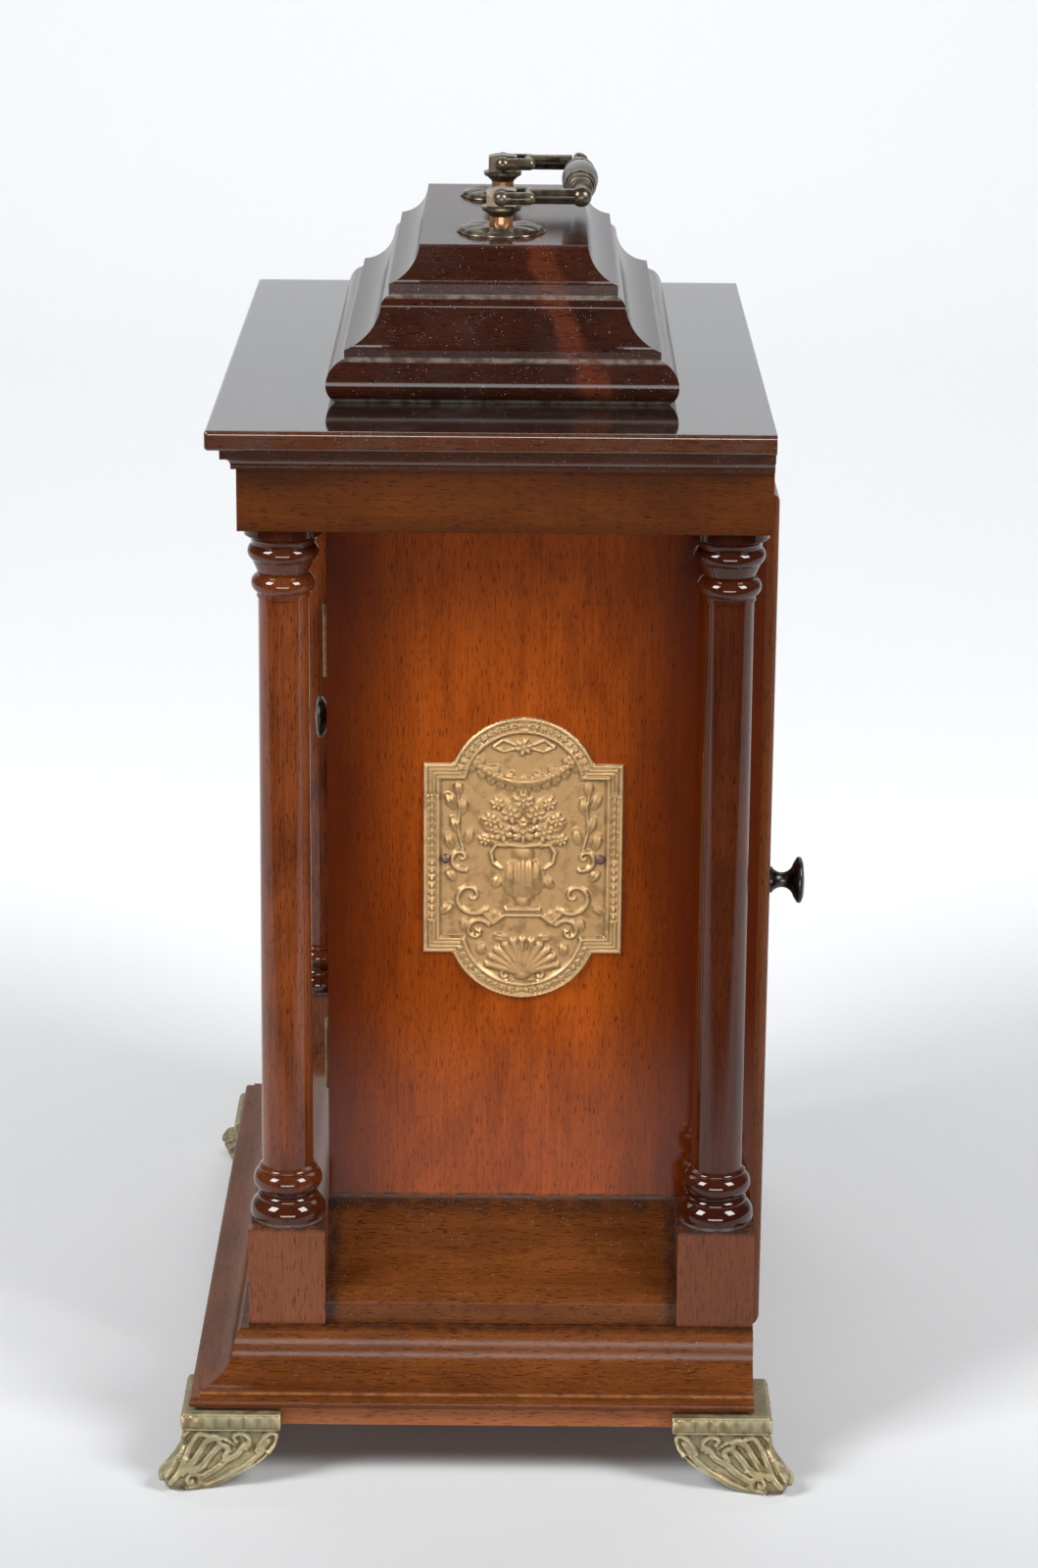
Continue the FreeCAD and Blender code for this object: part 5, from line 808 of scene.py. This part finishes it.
def curved(points, steps=7):
    """A smooth run through the points."""
    ends = [points[0]] + list(points) + [points[-1]]
    run = []
    for index in range(1, len(ends) - 2):
        p0, p1, p2, p3 = (np.array(ends[index + k], float) for k in (-1, 0, 1, 2))
        for step in range(steps):
            t = step / steps
            run.append(tuple(0.5 * (2 * p1 + (p2 - p0) * t + (2 * p0 - 5 * p1 + 4 * p2 - p3) * t ** 2
                                    + (3 * p1 - p0 - 3 * p2 + p3) * t ** 3)))
    run.append(tuple(points[-1]))
    return run


# The acanthus on each face of a foot: (distance from the flange's corner, height), half width, rise.
FOOT_RIBS = [
    ([(-4.6, 6.0), (-2.6, 9.2), (-0.6, 13.0), (0.6, 16.4), (2.2, 18.4)], 1.1, 1.2),
    ([(-3.0, 3.8), (0.0, 7.4), (1.6, 10.6), (3.4, 14.2), (5.4, 17.0), (8.0, 16.6)], 1.15, 1.3),
    ([(0.6, 6.6), (3.4, 8.4), (6.0, 11.6), (8.4, 15.4), (11.2, 16.0), (12.2, 13.4)], 1.2, 1.4),
    ([(3.6, 6.4), (6.6, 7.6), (9.6, 10.6), (12.6, 13.2), (14.8, 12.2), (13.6, 9.8)], 1.2, 1.4),
    ([(6.6, 4.6), (10.6, 6.4), (14.2, 8.8), (17.6, 10.4), (19.4, 12.6), (21.6, 13.4)], 1.25, 1.4),
    ([(3.0, 0.6), (8.0, 1.2), (14.0, 3.4), (20.0, 6.8), (25.0, 11.0), (27.6, 15.0)], 1.3, 1.3),
    ([(20.6, 12.4), (21.6, 15.4), (19.2, 17.4), (16.6, 16.4), (17.6, 14.6)], 0.9, 1.1),
    ([(24.0, 11.8), (26.4, 16.0), (29.4, 17.8), (30.4, 14.6), (27.6, 11.4)], 1.0, 1.1),
    ([(8.6, 14.4), (13.0, 15.6), (17.0, 13.4)], 0.5, 0.7),
]


def foot_carving(a, z):
    """How far the acanthus on a foot's face stands out, in millimetres."""
    h = np.zeros_like(a) - 0.9
    h = np.maximum(h, stroke(a, z, spiral(3.4, 3.7, -2.0, 1.35, 3.6, 1, 40), 1.0, 2.2, 0.5) - 0.9)
    for points, width, rise in FOOT_RIBS:
        h = np.maximum(h, stroke(a, z, curved(points), width, rise + 0.9, 0.75) - 0.9)
    return h


def cast_foot(node):
    """A foot with its flange's row of pads, a toe at the corner and the leaf carved down to it."""
    low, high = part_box(node)
    side = -1.0 if low.x < 0 else 1.0
    front = -1.0 if low.y < 0 else 1.0
    corner = Vector((side * max(abs(low.x), abs(high.x)), low.y if front < 0 else high.y, 0))
    mesh = remeshed(node, 0.00045)
    count = len(mesh.vertices)
    place = np.zeros(count * 3)
    mesh.vertices.foreach_get("co", place)
    place = place.reshape(-1, 3)
    toe = 7.0
    a = (corner.x - place[:, 0]) * side / MM - toe
    b = (corner.y - place[:, 1]) * front / MM - toe
    z = place[:, 2] / MM
    # the toe's flare dies away from the corner, and its corner is rounded in plan
    new_a = np.where(a < 0, a * (1.0 - 0.80 * np.clip((b + 1.0) / 17.0, 0, 1) ** 0.8), a)
    new_b = np.where(b < 0, b * (1.0 - 0.80 * np.clip((a + 1.0) / 17.0, 0, 1) ** 0.8), b)
    most = np.maximum(-new_a, -new_b)
    least = np.minimum(-new_a, -new_b)
    both = (least > 0) & (z < 18.0)
    squeeze = np.where(both, 1.0 - 0.16 * (least / np.maximum(most, 0.01)) ** 2, 1.0)
    new_a = np.where(both, new_a * squeeze, new_a)
    new_b = np.where(both, new_b * squeeze, new_b)
    place[:, 0] += (a - new_a) * side * MM
    place[:, 1] += (b - new_b) * front * MM
    a, b = new_a, new_b
    mesh.vertices.foreach_set("co", place.ravel())
    mesh.update()
    normal = np.zeros(count * 3)
    mesh.vertices.foreach_get("normal", normal)
    normal = normal.reshape(-1, 3)
    face_x = np.clip(normal[:, 0] * side, 0, 1)
    face_y = np.clip(normal[:, 1] * front, 0, 1)
    total = np.maximum(face_x + face_y, 0.35)
    carve = (face_x * foot_carving(b, z) + face_y * foot_carving(a, z)) / total
    carve = np.where((face_x + face_y) < 0.02, 0.0, carve) * np.clip((18.6 - z) / 0.8, 0, 1)
    pad_height = np.sqrt(np.clip(1 - ((z - 21.5) / 2.5) ** 2, 0, None))

    def pads(s):
        return pad_height * np.sqrt(np.clip(1 - (((s + 2.2) % 4.4 - 2.2) / 2.25) ** 2, 0, None))

    flange = z > 18.9
    bead = 1.3 * (pads(b) * (normal[:, 0] * side > 0.6) + pads(a) * (normal[:, 1] * front > 0.6))
    carve = np.where(flange, bead - 0.75 * ((face_x > 0.6) | (face_y > 0.6)), carve)
    inner = (a > 5.3) & (b > 5.3)
    carve = np.where(inner | (z < 0.3), 0.0, carve)
    place = place + normal * (np.clip(carve, -0.9, 0.6) * MM)[:, None]
    place[:, 2] = np.maximum(place[:, 2], 0.0)
    mesh.vertices.foreach_set("co", place.ravel())
    mesh.update()
    mesh.materials.clear()
    mesh.materials.append(METALS["verdigris"])
    mesh.shade_smooth()
    piece = bpy.data.objects.new("cast_" + node, mesh)
    bpy.context.scene.collection.objects.link(piece)
    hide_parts(node)
    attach(piece, "case")


for corner_name in ("front_left", "front_right", "rear_left", "rear_right"):
    cast_foot("foot_" + corner_name)


# ---------------------------------------------------------------- rosettes under the posts

def rosettes():
    """Two round plates of eight domed petals, each with a collar for its post."""
    low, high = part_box("handle_rosettes")
    radius = (high.y - low.y) / 2
    rise = high.z - low.z
    middle = (low.y + high.y) / 2
    bore = 0.0038
    rings, spokes = 30, 192
    points = []
    faces = []
    for centre in (low.x + radius, high.x - radius):
        start = len(points)
        for ring in range(rings + 1):
            t = ring / rings
            for spoke in range(spokes):
                angle = 2 * math.pi * spoke / spokes
                lobe = abs(math.cos(4 * angle))
                reach = radius * (0.90 + 0.10 * lobe ** 0.5)
                r = bore + (reach - bore) * t
                petal = math.sin(math.pi * min(1.0, 0.12 + t * 0.88)) ** 0.6
                up = 0.30 + 0.62 * petal * (0.35 + 0.65 * lobe ** 0.45)
                if t < 0.2:
                    up = max(up, 0.85 - 1.2 * abs(t - 0.1))
                if t > 0.9:
                    up *= 1.0 - (t - 0.9) * 6.0
                points.append((centre + r * math.cos(angle), middle + r * math.sin(angle),
                               low.z + rise * min(up, 0.98)))
        for ring in (0, rings):
            for spoke in range(spokes):
                x, y, _ = points[start + ring * spokes + spoke]
                points.append((x, y, low.z))
        inner = start + (rings + 1) * spokes
        outer = inner + spokes
        for spoke in range(spokes):
            after = (spoke + 1) % spokes
            for ring in range(rings):
                a, b = start + ring * spokes, start + (ring + 1) * spokes
                faces.append((a + spoke, b + spoke, b + after, a + after))
            last = start + rings * spokes
            faces.append((last + spoke, outer + spoke, outer + after, last + after))
            faces.append((start + after, inner + after, inner + spoke, start + spoke))
            faces.append((inner + after, outer + after, outer + spoke, inner + spoke))
    piece = mesh_piece("petalled_rosettes", points, faces, METALS["bronze"])
    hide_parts("handle_rosettes")
    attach(piece, "case")


rosettes()
